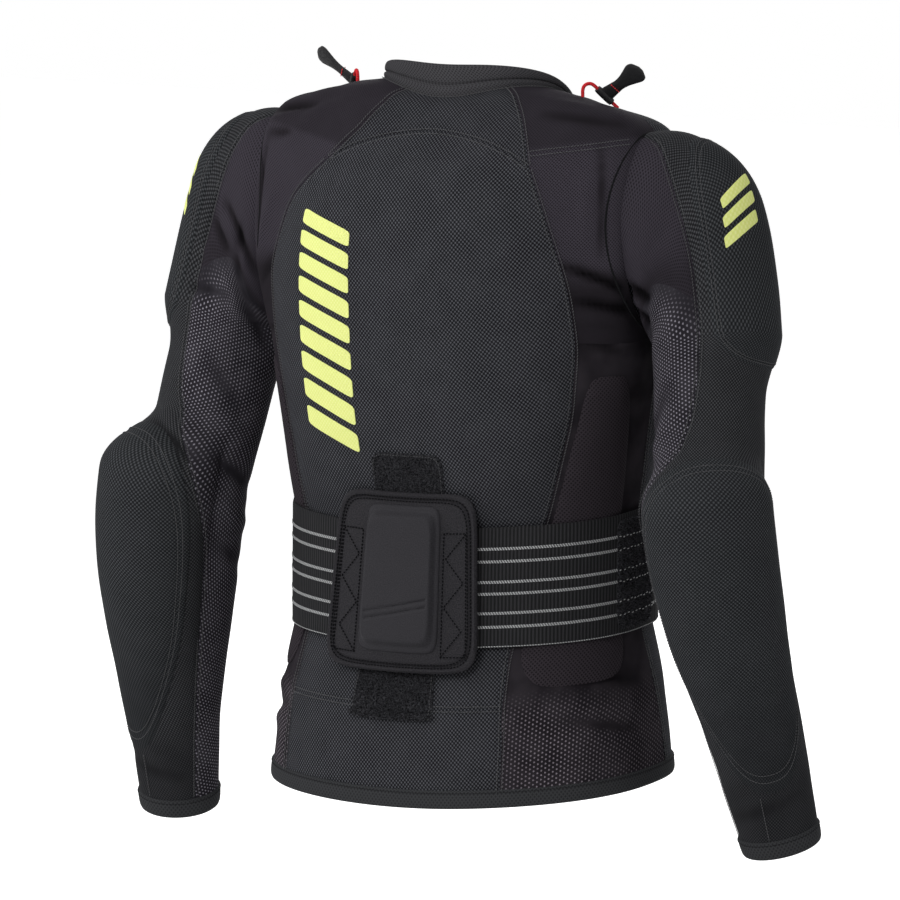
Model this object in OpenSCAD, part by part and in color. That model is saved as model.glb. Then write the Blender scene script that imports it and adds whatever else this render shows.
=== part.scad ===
// Long-sleeved protection jacket with a back protector, shoulder and elbow armour and a kidney belt.
// The wearer faces -Y, so the back is +Y and the wearer's left is +X.
// The origin is the centre of the neck opening, at the height of the collar seam at the back.

/* [Body] */
// Half width of the neck opening
neck_half_w = 80; // [70:1:90]
// Depth of the neck opening behind its centre
neck_back_d = 60; // [52:1:70]
// Depth of the neck opening in front of its centre
neck_front_d = 84; // [76:1:94]
// Drop of the front of the neck below its back
neck_front_drop = 62; // [50:1:72]
// Half width across the shoulder tips
shoulder_half_w = 172; // [164:1:178]
// Depth of the back at the shoulder tips
shoulder_back_d = 94; // [86:1:102]
// Drop of the shoulder tips below the neck
shoulder_drop = 26; // [20:1:32]
// Half width at the armpits
chest_half_w = 175; // [173:1:183]
// Depth of the back at the armpits
chest_back_d = 118; // [112:1:124]
// Drop of the armpits below the neck
armpit_drop = 195; // [185:1:205]
// Half width of the waist
waist_half_w = 146; // [137:1:156]
// Depth of the back at the waist
waist_back_d = 102; // [96:1:108]
// Drop of the waist below the neck
waist_drop = 400; // [385:1:415]
// Half width of the hem
hem_half_w = 173; // [166:1:184]
// Depth of the back at the hem
hem_back_d = 132; // [122:1:138]
// Drop of the hem below the neck
hem_drop = 570; // [555:1:590]
// How far the front line leans out for each millimetre that it drops
front_lean = 0.05; // [0.02:0.01:0.08]
// How much lower the back of the waist hangs than its sides
back_tilt = 14; // [6:1:20]
// Thickness of the body fabric
fabric_t = 2; // [1.2:0.1:2.4]
// Gap left along a seam between two panels
seam_gap = 0.8; // [0.5:0.1:1.2]
// Clearance between two layers that lie on each other
layer_gap = 0.7; // [0.5:0.1:0.9]

/* [Collar and hem] */
// Height of the collar at the back
collar_back_h = 27; // [18:1:36]
// Height of the collar at the front
collar_front_h = 24; // [16:1:30]
// Thickness of the collar
collar_t = 3; // [2:0.2:4]
// How far the collar leans in towards its top edge
collar_lean = 4; // [1:0.5:8]
// Height of the hem binding
hem_band_h = 16; // [10:1:22]
// Thickness of the hem binding
hem_band_t = 5; // [4:0.5:7]

/* [Back protector] */
// Crown of the protector above the panels beside it
protector_crown = 12; // [8:0.5:16]
// Rise of the protector cover at its stitched edge
cover_lift = 2; // [1.6:0.1:2.6]
// Thickness of the protector cover
cover_t = 1.4; // [1:0.1:1.8]
// Thickness of the lining behind the protector
lining_t = 1.2; // [0.8:0.1:1.3]
// Half angle that the arched top of the back panel spans
arch_half_angle = 46; // [42:1:50]

/* [Sleeves] */
// Half height of the armhole, as a share of the body's station spacing
armhole_rise = 1; // [0.94:0.01:1]
// Half width of the armhole, as an angle round the body
armhole_half_angle = 17; // [15:0.5:19]
// Distance of the sleeve's line from the middle at the top of the arm
arm_x = 221; // [219:1:228]
// Distance of the elbow from the middle
elbow_x = 250; // [244:1:258]
// How far the elbow lies behind the middle
elbow_y = 39; // [33:1:46]
// Drop of the elbow below the neck
elbow_drop = 340; // [331:1:350]
// Distance of the wrist from the middle
wrist_x = 290; // [281:1:300]
// How far the wrist lies behind the middle
wrist_y = -6; // [-13:1:2]
// Drop of the end of the sleeve below the neck
wrist_drop = 616; // [600:1:632]
// How far the forearm bows backwards
forearm_bow = 11; // [6:1:16]
// Outward radius of the sleeve at the top of the arm
arm_r = 55; // [52:1:60]
// Radius of the sleeve at the elbow
elbow_r = 46; // [44:1:49]
// Radius of the sleeve at the wrist
wrist_r = 32; // [30:1:36]
// Thickness of the sleeve fabric
sleeve_t = 1.5; // [1:0.1:2]
// Height of the cuff binding
cuff_h = 16; // [10:1:20]
// Thickness of the cuff binding
cuff_t = 5; // [4:0.5:6]

/* [Armour] */
// Crown of the shoulder armour
shoulder_crown = 11; // [8:0.5:14]
// Crown of the elbow armour
elbow_crown = 38; // [30:1:42]
// Direction of the elbow armour's middle, from outwards round to the back
elbow_pad_turn = 67.5; // [60:2.5:75]
// Thickness of the fabric cover over the armour
armour_cover_t = 1.2; // [0.8:0.1:1.6]

/* [Belt] */
// Height of the elastic belt
belt_h = 100; // [90:1:110]
// Drop of the belt's middle below the neck, at the sides
belt_drop = 391; // [385:1:400]
// Distance of the belt's inner face from the body
belt_lift = 3.4; // [3.2:0.1:4.2]
// Thickness of the belt
belt_t = 2; // [1.4:0.1:2.4]
// Angle round the body where the front flaps are sewn to the belt
flap_angle = 100; // [97:1:103]
// Angle by which each flap reaches past the middle of the front
flap_overlap = 9; // [6:1:12]
// Thickness of the loop patches
loop_patch_t = 1; // [0.6:0.1:1.4]

/* [Lumbar plate] */
// Width of the plate at its foot
plate_w = 140; // [130:1:150]
// Narrowing of the plate on each side at its top
plate_taper = 7; // [0:1:12]
// Height of the plate's middle above the belt's middle
plate_rise = 4; // [0:1:8]
// Height of the plate
plate_h = 150; // [144:1:156]
// Thickness of the plate's sewn backing
plate_backing_t = 3; // [2:0.2:4]
// Thickness of the foam between the belt and the plate
plate_foam_t = 6; // [5.6:0.2:7]
// Width of the moulded panel on the plate at its foot
moulded_w = 74; // [66:1:84]
// Narrowing of the moulded panel on each side at its top
moulded_taper = 3; // [0:1:6]
// Height of the moulded panel on the plate
moulded_h = 123; // [112:1:130]
// Height of the moulded panel's middle above the plate's middle
moulded_rise = 3; // [0:1:5]
// Crown of the moulded panel
moulded_t = 8; // [5:0.5:10]
// Width of the hook strips above and below the plate
hook_strip_w = 64; // [50:1:70]
// Thickness of the hook strips
hook_strip_t = 1.5; // [1:0.1:1.5]

/* [Front zip] */
// Half width of the zip
zip_half_w = 12; // [10:0.5:15]
// Thickness of the zip tape
zip_tape_t = 1.2; // [0.8:0.1:1.4]
// Width of one half of the zip's coil
coil_w = 2.2; // [1.8:0.1:2.6]
// Height of the coil above the tape
coil_h = 1.6; // [1.2:0.1:2]
// Length of the slider
slider_len = 14; // [10:0.5:18]
// Wall of the slider
slider_wall = 1.2; // [0.9:0.1:1.6]
// Running clearance of the slider round the coil
slider_gap = 0.3; // [0.2:0.05:0.5]
// Length of the puller
puller_len = 34; // [24:1:44]
// Radius of the bar that carries the puller
puller_bar_r = 0.9; // [0.7:0.1:1.2]
// Running clearance of the puller round its bar
puller_gap = 0.1; // [0.06:0.01:0.1]

/* [Cord loops] */
// Diameter of the cord
cord_d = 3; // [2:0.1:3.2]
// Length of the pull tab
tab_len = 42; // [32:1:50]
// Width of the pull tab's tip
tab_tip_w = 21; // [16:0.5:24]
// Width of the pull tab at the cord
tab_root_w = 14; // [10:0.5:16]
// Thickness of the pull tab's blade
tab_t = 3; // [2:0.2:4]
// Running clearance of the pull tab round the cord
tab_gap = 0.1; // [0.06:0.01:0.1]

/* [Hidden] */

function mix(a, b, t) = a + (b - a) * t;
function clamp01(x) = max(0, min(1, x));
function smooth(x) = let (c = clamp01(x)) c * c * (3 - 2 * c);
function unit(p) = p / norm(p);
// Rounded hump over 0 to 1 that is zero at both ends
function hump(x) = 1 - pow(abs(2 * x - 1), 4);
// Smooth curve through the rows of a table, with one row for each whole number
function curve(tab, v) =
    let (n = len(tab), i = min(n - 2, max(0, floor(v))), f = v - i, b = tab[i], c = tab[i + 1],
         a = i == 0 ? 2 * b - c : tab[i - 1], d = i == n - 2 ? 2 * c - b : tab[i + 2])
    0.5 * (2 * b + (c - a) * f + (2 * a - 5 * b + 4 * c - d) * f * f + (3 * b - a - 3 * c + d) * f * f * f);

// Body: each row is drop at the sides, half width, back depth, rise at the back, rise at the front
// and squareness. Rows run from the hem (0) by hip, waist, ribs, armpit, blade, shoulder tip and
// mid shoulder to the neck (8).
body_square = 2.4;
neck_square = 2.1;
neck_side_drop = -3;
hem_dip = 4;
hem_front_rise = 2;
tip_back_dip = 22;
tip_front_dip = 8;
mid_back_dip = 6;
mid_front_dip = 4;
body_rows = [
    [-hem_drop, hem_half_w, hem_back_d, -back_tilt - hem_dip, back_tilt + hem_front_rise, body_square],
    [-mix(waist_drop, hem_drop, 0.58), mix(waist_half_w, hem_half_w, 0.7), mix(waist_back_d, hem_back_d, 0.7),
        -back_tilt, back_tilt, body_square],
    [-waist_drop, waist_half_w, waist_back_d, -back_tilt, back_tilt, body_square],
    [-mix(waist_drop, armpit_drop, 0.49), mix(waist_half_w, chest_half_w, 0.46),
        mix(waist_back_d, chest_back_d, 0.56), -0.7 * back_tilt, 0.6 * back_tilt, body_square],
    [-armpit_drop, chest_half_w, chest_back_d, -0.3 * back_tilt, 0, body_square],
    [-mix(armpit_drop, shoulder_drop, 0.526), mix(chest_half_w, shoulder_half_w, 0.25),
        mix(chest_back_d, shoulder_back_d, 0.14), 0, -0.4 * neck_front_drop, body_square],
    [-shoulder_drop, shoulder_half_w, shoulder_back_d, -tip_back_dip, -neck_front_drop - tip_front_dip,
        body_square],
    [-mix(shoulder_drop, neck_side_drop, 0.76), mix(shoulder_half_w, neck_half_w, 0.587),
        mix(shoulder_back_d, neck_back_d, 0.588), -mid_back_dip, -neck_front_drop - mid_front_dip,
        mix(body_square, neck_square, 0.67)],
    [-neck_side_drop, neck_half_w, neck_back_d, neck_side_drop, neck_side_drop - neck_front_drop, neck_square]
];
neck_v = 8;
// Depth of the front at a height on the straight line that the zip follows
function front_depth(z) = neck_front_d + front_lean * (-neck_front_drop - z);
// Point of the body at angle u (0 back, 90 left, 180 front) and row v
function body_base(u, v) =
    let (r = curve(body_rows, v), s = sin(u), c = cos(u), b = c >= 0 ? r[2] : front_depth(r[0] + r[4]),
         k = 1 / pow(pow(abs(s) / r[1], r[5]) + pow(abs(c) / b, r[5]), 1 / r[5]))
    [k * s, k * c, r[0] + (r[3] - r[4]) / 2 * c + (r[3] + r[4]) / 2 * c * c];
function body_normal(u, v) =
    let (du = body_base(u + 0.4, v) - body_base(u - 0.4, v),
         dv = body_base(u, v + 0.01) - body_base(u, v - 0.01))
    unit(cross(dv, du));
function body_point(u, v, off) = body_base(u, v) + off * body_normal(u, v);
// Sheet of body points between two edge angles, at the given rows
function body_sheet(rows, left, right, cells, off) =
    [for (v = rows) [for (i = [0:cells])
        let (u = mix(left(v), right(v), i / cells)) body_point(u, v, off(u, v))]];

// Closed solid between an outer and an inner sheet of points, open-edged or closed round as a ring
module sheet_solid(outer, inner, ring = false) {
    m = len(outer) - 1;
    n = len(outer[0]);
    cells = ring ? n : n - 1;
    count = (m + 1) * n;
    function at(i, j) = j * n + i % n;
    function quad(a, b, c, d) = [[a, c, b], [a, d, c]];
    points = concat([for (row = outer) for (p = row) p], [for (row = inner) for (p = row) p]);
    skins = [for (j = [0:m - 1]) for (i = [0:cells - 1])
        let (a = at(i, j), b = at(i, j + 1), c = at(i + 1, j + 1), d = at(i + 1, j), k = count)
        each concat(quad(a, b, c, d), quad(d + k, c + k, b + k, a + k))];
    ends = [for (i = [0:cells - 1])
        let (a = at(i, 0), d = at(i + 1, 0), b = at(i, m), c = at(i + 1, m), k = count)
        each concat(quad(a, d, d + k, a + k), quad(c, b, b + k, c + k))];
    sides = ring ? [] : [for (j = [0:m - 1])
        let (a = at(0, j), b = at(0, j + 1), d = at(n - 1, j), c = at(n - 1, j + 1), k = count)
        each concat(quad(b, a, a + k, b + k), quad(d, c, c + k, d + k))];
    polyhedron(points = points, faces = concat(skins, ends, sides));
}
module both_sides(right) {
    mirror([right ? 1 : 0, 0, 0]) children();
}

// Panels of the body
row_height = (hem_drop - waist_drop) / 2;
gap_v = seam_gap / row_height;
gap_u = seam_gap / 2 / waist_half_w * 180 / PI;
hem_top_v = hem_band_h / row_height * 1.2;
arch_low_v = 5.66;
arch_rise = 0.9;
protector_low_v = 2;
armhole_v = 5;
armhole_steps = 12;
back_cells = 16;
// Angle of the seam beside the back panel and the lower back panel
function back_edge(v) =
    lookup(v, [[0, 46], [1, 47], [2, 52], [2.7, 56], [3.4, 60], [4, 61], [4.5, 59], [5.1, 54],
        [arch_low_v, arch_half_angle]]);
// Angle of the seam under the arm
function side_edge(v) = 90 + 8 * clamp01(1 - v / 4);
// Row of the arched seam over the back panel
function arch_v(u) = arch_low_v + arch_rise * (1 - pow(u / arch_half_angle, 2));
// Half angle of the armhole at a row, a seam wider than the sleeve's own edge
function armhole_edge(v) =
    (armhole_half_angle + 2 * gap_u) * sqrt(max(0, 1 - pow((v - armhole_v) / armhole_rise, 2)));
armpit_v = armhole_v - armhole_rise;
crest_v = armhole_v + armhole_rise;
low_rows = [for (i = [0:12]) mix(hem_top_v + gap_v, armpit_v - gap_v, i / 12)];
armhole_rows = [for (i = [0:armhole_steps]) armhole_v - armhole_rise * cos(i * 180 / armhole_steps)];
top_rows = [for (i = [1:4]) mix(crest_v, neck_v - gap_v, i / 4)];

// Point of the back panel at the share s across and t up, with an offset that follows its crown
function protector_v(s, t) = mix(protector_low_v + gap_v, arch_v((2 * s - 1) * arch_half_angle) - gap_v, t);
function protector_point(s, t, off) =
    let (v = protector_v(s, t)) body_point((2 * s - 1) * (back_edge(v) - 2 * gap_u), v, off);
function protector_swell(s, t) =
    cover_lift + protector_crown * hump(s) * smooth((t - 0.1) / 0.25) * smooth((1 - t) / 0.2);
function protector_sheet(across, up, side, low, high, off) =
    [for (j = [0:up]) [for (i = [0:across])
        let (s = mix(side, 1 - side, i / across), t = mix(low, high, j / up))
        protector_point(s, t, off(s, t))]];

module back_panel() {
    swell = function(s, t) protector_swell(s, t);
    color([0.21, 0.21, 0.22])
        sheet_solid(protector_sheet(back_cells, back_cells, 0, 0, 1, swell),
            protector_sheet(back_cells, back_cells, 0, 0, 1, function(s, t) swell(s, t) - cover_t));
}
// The core keeps to the cover's own lines, two cells in from its sides
core_side = 2;
core_low = 4;
core_high = 13;
core_gap = 1;
module back_protector_core() {
    across = back_cells - 2 * core_side;
    up = core_high - core_low;
    side = core_side / back_cells;
    low = core_low / back_cells;
    high = core_high / back_cells;
    swell = function(s, t) protector_swell(s, t) - cover_t - core_gap;
    color([0.1, 0.1, 0.11])
        sheet_solid(protector_sheet(across, up, side, low, high, swell),
            protector_sheet(across, up, side, low, high, function(s, t) layer_gap / 2));
}
lining_side = 0.02;
module back_lining() {
    cells = back_cells;
    color([0.16, 0.16, 0.17])
        sheet_solid(protector_sheet(cells, cells, lining_side, 0, 1, function(s, t) lining_t - fabric_t),
            protector_sheet(cells, cells, lining_side, 0, 1, function(s, t) -fabric_t));
}
module back_yoke() {
    cells = 12;
    steps = 4;
    function sheet(off) = [for (j = [0:steps]) [for (i = [0:cells])
        let (u = mix(-1, 1, i / cells) * (arch_half_angle - 3 * gap_u),
             v = mix(arch_v(u) + gap_v, neck_v - gap_v, j / steps))
        body_point(u, v, off)]];
    color([0.21, 0.21, 0.22]) sheet_solid(sheet(0), sheet(-fabric_t));
}
module lower_back_panel() {
    rows = [for (i = [0:6]) mix(hem_top_v + gap_v, protector_low_v - gap_v, i / 6)];
    left = function(v) gap_u - back_edge(v);
    right = function(v) back_edge(v) - gap_u;
    color([0.2, 0.2, 0.21])
        sheet_solid(body_sheet(rows, left, right, 10, function(u, v) 0),
            body_sheet(rows, left, right, 10, function(u, v) -fabric_t));
}
module shoulder_panel(right_hand) {
    rows = concat(armhole_rows, top_rows);
    left = function(v) back_edge(v) + gap_u;
    right = function(v) 90 - gap_u - armhole_edge(v);
    color([0.23, 0.21, 0.24])
        both_sides(right_hand)
            sheet_solid(body_sheet(rows, left, right, 5, function(u, v) 0),
                body_sheet(rows, left, right, 5, function(u, v) -fabric_t));
}
module side_panel(right_hand) {
    left = function(v) back_edge(v) + gap_u;
    right = function(v) side_edge(v) - gap_u;
    color([0.17, 0.16, 0.17])
        both_sides(right_hand)
            sheet_solid(body_sheet(low_rows, left, right, 6, function(u, v) 0),
                body_sheet(low_rows, left, right, 6, function(u, v) -fabric_t));
}
module front_panel(right_hand) {
    rows = concat(low_rows, armhole_rows, top_rows);
    left = function(v) (v < armpit_v ? side_edge(v) : 90 + armhole_edge(v)) + gap_u;
    right = function(v) 180 - atan2(zip_half_w + seam_gap, neck_front_d);
    color([0.2, 0.2, 0.21])
        both_sides(right_hand)
            sheet_solid(body_sheet(rows, left, right, 8, function(u, v) 0),
                body_sheet(rows, left, right, 8, function(u, v) -fabric_t));
}

// Padded cover on the flank, from the ribs to below the belt
flank_t = 1.8;
flank_edge_t = 0.8;
flank_top_v = 3.73;
flank_low_v = 1.25;
module flank_pad(right_hand) {
    rows = [for (v = low_rows) if (v > flank_low_v && v < flank_top_v) v];
    left = function(v) back_edge(v) + 3;
    right = function(v) side_edge(v) - 11;
    span = rows[len(rows) - 1] - rows[0];
    swell = function(u, v)
        let (across = hump((u - left(v)) / (right(v) - left(v))), up = hump((v - rows[0]) / span))
        layer_gap + mix(flank_edge_t, flank_t, across * up);
    color([0.14, 0.13, 0.14])
        both_sides(right_hand)
            sheet_solid(body_sheet(rows, left, right, 6, swell),
                body_sheet(rows, left, right, 6, function(u, v) layer_gap));
}

// Collar that stands on the neck edge and is open at the zip
collar_side_drop = 14;
module collar() {
    cells = 36;
    steps = 3;
    gap_angle = atan2(zip_half_w + seam_gap, neck_front_d);
    function rim(u, h, in) =
        let (base = body_base(u, neck_v), c = cos(u), tall = mix(collar_back_h, collar_front_h, (1 - c) / 2),
             lean = mix(collar_lean, -front_lean * collar_front_h, (1 - c) / 2) * h + in,
             flat = unit([base[0], base[1], 0]))
        base + [0, 0, seam_gap + (tall - seam_gap - collar_side_drop * pow(sin(u), 2)) * h] - lean * flat;
    function sheet(in) = [for (j = [0:steps]) [for (i = [0:cells])
        rim(mix(gap_angle - 180, 180 - gap_angle, i / cells), j / steps, in)]];
    color([0.22, 0.22, 0.23]) sheet_solid(sheet(0), sheet(collar_t));
}
module hem_binding() {
    cells = 48;
    hem_seam_v = hem_top_v + gap_v / 2;
    profile = [[0.08, 0.75], [0.54, 1], [1, 0.75]];
    function ring(side) = [for (p = profile) [for (i = [0:cells - 1])
        body_point(i * 360 / cells, p[0] * hem_seam_v, -fabric_t / 2 + side * p[1] * hem_band_t / 2)]];
    color([0.2, 0.2, 0.21]) sheet_solid(ring(1), ring(-1), true);
}

// Front zip, in a frame whose +Y points out of the front and whose +Z runs up the zip
zip_turn = atan(front_lean);
zip_top_z = -neck_front_drop + collar_front_h - 1;
zip_low_z = -hem_drop + back_tilt + hem_band_h + 8;
zip_len = (zip_top_z - zip_low_z) / cos(zip_turn);
coil_gap = 0.4;
module zip_frame(z) {
    translate([0, -front_depth(z), z]) rotate([-zip_turn, 0, 0]) mirror([0, 1, 0]) children();
}
module zip_half(right_hand) {
    color([0.12, 0.12, 0.13])
        both_sides(right_hand)
            zip_frame(zip_low_z) {
                translate([coil_gap / 2, -fabric_t + 0.2, 0])
                    cube([zip_half_w - coil_gap / 2, zip_tape_t, zip_len]);
                translate([coil_gap / 2, -fabric_t + 0.2, 0]) cube([coil_w, zip_tape_t + coil_h, zip_len]);
            }
}
coil_top = -fabric_t + 0.2 + zip_tape_t + coil_h;
slider_in_w = coil_w + coil_gap / 2 + slider_gap;
slider_w = 2 * (slider_in_w + slider_wall);
slider_back = coil_top - coil_h + slider_gap;
slider_front = coil_top + slider_gap + slider_wall;
slider_z = zip_top_z - slider_len - 6;
bar_len = 6;
post_w = 1.4;
eye_r = puller_bar_r + puller_gap + 1.1;
bar_y = slider_front + eye_r + 0.4;
bar_z = slider_len * 0.6;
module zip_slider() {
    color([0.3, 0.3, 0.31])
        zip_frame(slider_z) {
            difference() {
                translate([-slider_w / 2, slider_back, 0])
                    cube([slider_w, slider_front - slider_back, slider_len]);
                translate([-slider_in_w, slider_back - 1, -1])
                    cube([2 * slider_in_w, coil_top + slider_gap - slider_back + 1, slider_len + 2]);
            }
            for (side = [-1, 1])
                translate([side * (bar_len / 2 - post_w / 2) - post_w / 2, slider_front - 0.2, bar_z - eye_r])
                    cube([post_w, bar_y + eye_r - slider_front + 0.2, 2 * eye_r]);
            translate([-bar_len / 2 + post_w / 2, bar_y, bar_z])
                rotate([0, 90, 0]) cylinder(h = bar_len - post_w, r = puller_bar_r, $fn = 32);
        }
}
puller_eye_w = bar_len - 2 * post_w - 0.4;
puller_w = 8;
puller_t = 1.8;
module zip_puller() {
    color([0.12, 0.12, 0.13])
        zip_frame(slider_z)
            translate([0, bar_y, bar_z])
                difference() {
                    union() {
                        translate([-puller_eye_w / 2, 0, 0])
                            rotate([0, 90, 0]) cylinder(h = puller_eye_w, r = eye_r, $fn = 32);
                        translate([-puller_eye_w / 2, -puller_t / 2, -eye_r - 8])
                            cube([puller_eye_w, puller_t, eye_r + 8]);
                        translate([-puller_w / 2, -puller_t / 2, -puller_len])
                            cube([puller_w, puller_t, puller_len - eye_r - 6]);
                    }
                    translate([-puller_eye_w, 0, 0])
                        rotate([0, 90, 0])
                            cylinder(h = 2 * puller_eye_w, r = puller_bar_r + puller_gap, $fn = 32);
                }
}

// Belt: a flat band, straight across its width, between two rows of the body
waist_v = 2;
mean_row_height = 98;
belt_mid_v = waist_v + (waist_drop - belt_drop) / mean_row_height;
belt_half_v = belt_h / 2 / mean_row_height;
function belt_point(u, w, off) =
    let (low = body_point(u, belt_mid_v - belt_half_v, off))
    let (high = body_point(u, belt_mid_v + belt_half_v, off))
    mix(low, high, 0.5) + (w - 0.5) * belt_h * unit(high - low);
function belt_sheet(from, to, cells, low, high, off) =
    [for (j = [0:2]) [for (i = [0:cells])
        let (u = mix(from, to, i / cells)) belt_point(u, mix(low, high, j / 2), off(u))]];
module belt_strip(from, to, cells, low, high, lift, thick) {
    sheet_solid(belt_sheet(from, to, cells, low, high, function(u) lift(u) + thick),
        belt_sheet(from, to, cells, low, high, lift));
}
band_start = 14;
module belt_band(right_hand) {
    color([0.19, 0.19, 0.19])
        both_sides(right_hand)
            belt_strip(band_start, flap_angle - gap_u, 12, 0, 1, function(u) belt_lift, belt_t);
}
patch_lift = belt_lift + belt_t + 0.3;
module loop_patch(right_hand) {
    color([0.13, 0.13, 0.13])
        both_sides(right_hand)
            belt_strip(flap_angle - 22, flap_angle - 3, 4, 0.04, 0.96, function(u) patch_lift, loop_patch_t);
}
flap_step = belt_t + loop_patch_t + 0.9;
module belt_flap_over() {
    lift = function(u) belt_lift + flap_step * smooth((u - 138) / 26);
    color([0.19, 0.19, 0.19]) belt_strip(flap_angle + gap_u, 180 + flap_overlap, 14, 0, 1, lift, belt_t);
}
module belt_flap_under() {
    color([0.19, 0.19, 0.19])
        both_sides(true)
            belt_strip(flap_angle + gap_u, 180 + flap_overlap, 14, 0, 1, function(u) belt_lift, belt_t);
}
module front_loop_patch() {
    color([0.13, 0.13, 0.13])
        both_sides(true)
            belt_strip(180 - flap_overlap, 180 + flap_overlap - 1, 4, 0.06, 0.94, function(u) patch_lift,
                loop_patch_t);
}

// Lumbar plate, laid on the belt's flat line and carried past its edges
foam_lift = belt_lift + belt_t + 0.4;
backing_lift = foam_lift + plate_foam_t + 0.4;
pad_lift = backing_lift + plate_backing_t + 0.4;
// The plate sits a little to the wearer's left, and its foot more than its top
plate_shift = 2;
plate_lean = 0.045;
function plate_point(across, h, off) =
    let (x = across + plate_shift - plate_lean * h)
    let (depth = waist_back_d * pow(1 - pow(abs(x) / waist_half_w, body_square), 1 / body_square))
    belt_point(atan2(x, depth + off / 2), 0.5 + h / belt_h, off);
// Outline of a rounded rectangle: half width at the share t of its height
function round_half(half_w, height, corner, t) =
    let (d = min(t, 1 - t) * height, k = clamp01(d / corner))
    half_w - corner * (1 - sqrt(max(0, 1 - pow(1 - k, 2))));
function plate_sheet(width, taper, height, rise, corner, across, up, off) =
    [for (j = up) [for (i = [0:across])
        let (half = round_half(width / 2 - taper * j, height, corner, j), s = i / across)
        plate_point(-mix(-half, half, 1 - s), rise + (j - 0.5) * height, off(s, j))]];
plate_rows = [0.01, 0.04, 0.12, 0.3, 0.5, 0.7, 0.88, 0.96, 0.99];
module plate_slab(width, taper, height, rise, corner, lift, thick, crown) {
    sheet_solid(
        plate_sheet(width, taper, height, rise, corner, 10, plate_rows,
            function(s, t) lift + thick + crown * hump(s) * hump(t)),
        plate_sheet(width, taper, height, rise, corner, 10, plate_rows, function(s, t) lift));
}
module lumbar_foam() {
    color([0.1, 0.1, 0.1])
        plate_slab(plate_w - 24, plate_taper / 2, belt_h - 4, 0, 8, foam_lift, plate_foam_t, 0);
}
module lumbar_plate_backing() {
    color([0.2, 0.2, 0.21])
        plate_slab(plate_w, plate_taper, plate_h, plate_rise, 16, backing_lift, plate_backing_t, 0);
}
module lumbar_plate_pad() {
    color([0.2, 0.2, 0.21])
        plate_slab(moulded_w, moulded_taper, moulded_h, plate_rise + moulded_rise, 12,
            pad_lift, 2, moulded_t - 2);
}
// Hook strips that hold the plate to the back
module hook_strip(low_v, high_v, lift) {
    half = atan2(hook_strip_w / 2, waist_back_d + 8);
    left = function(v) -half;
    right = function(v) half;
    rows = [for (i = [0:4]) mix(low_v, high_v, i / 4)];
    color([0.13, 0.13, 0.13])
        sheet_solid(body_sheet(rows, left, right, 8, function(u, v) lift(u, v) + hook_strip_t),
            body_sheet(rows, left, right, 8, lift));
}
module upper_hook_strip() {
    lift = function(u, v)
        let (top = arch_v(u) - gap_v, low = protector_low_v + gap_v)
        layer_gap + protector_swell(0.5 + u / (2 * back_edge(v)), (v - low) / (top - low));
    hook_strip(belt_mid_v + belt_half_v + 0.08, belt_mid_v + belt_half_v + 0.55, lift);
}
module lower_hook_strip() {
    hook_strip(belt_mid_v - belt_half_v - 0.6, belt_mid_v - belt_half_v - 0.06, function(u, v) layer_gap);
}

// Cord loops on the shoulders, with a pull tab that turns on the straight leg
cord_route = [
    [108, 10, 1], [108, 10, 3.6], [108, 10, 6.2], [108.6, 9.3, 9.46], [110.3, 7.3, 11.55], [112.5, 4.7, 11.8],
    [114.5, 2.4, 10.26], [116.9, -0.45, 6.8], [119.3, -3.3, 3.34], [121.7, -6.15, -0.12], [124.1, -9, -3.58],
    [126.5, -11.85, -7.04], [128.1, -13.75, -9.35]
];
// Direction that is square to no part of the route
cord_side = [0.6, 0.64, 0.48];
tab_from = 7;
tab_to = 10;
module cord_tube(route, d, sides) {
    n = len(route);
    rings = [for (k = [0:n - 1])
        let (ahead = unit(route[min(n - 1, k + 1)] - route[max(0, k - 1)]),
             across = unit(cross(ahead, cord_side)), up = cross(ahead, across))
        [for (i = [0:sides - 1])
            let (a = i * 360 / sides) route[k] + d / 2 * (across * cos(a) + up * sin(a))]];
    points = concat([for (ring = rings) for (p = ring) p], [route[0], route[n - 1]]);
    walls = [for (k = [0:n - 2]) for (i = [0:sides - 1])
        let (a = k * sides + i, b = k * sides + (i + 1) % sides)
        each [[a, b + sides, b], [a, a + sides, b + sides]]];
    caps = [for (i = [0:sides - 1]) let (j = (i + 1) % sides, top = (n - 1) * sides)
        each [[n * sides, i, j], [n * sides + 1, top + j, top + i]]];
    polyhedron(points = points, faces = concat(walls, caps));
}
module cord_loop(right_hand) {
    color([0.85, 0.12, 0.12]) both_sides(right_hand) cord_tube(cord_route, cord_d, 8);
}
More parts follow.
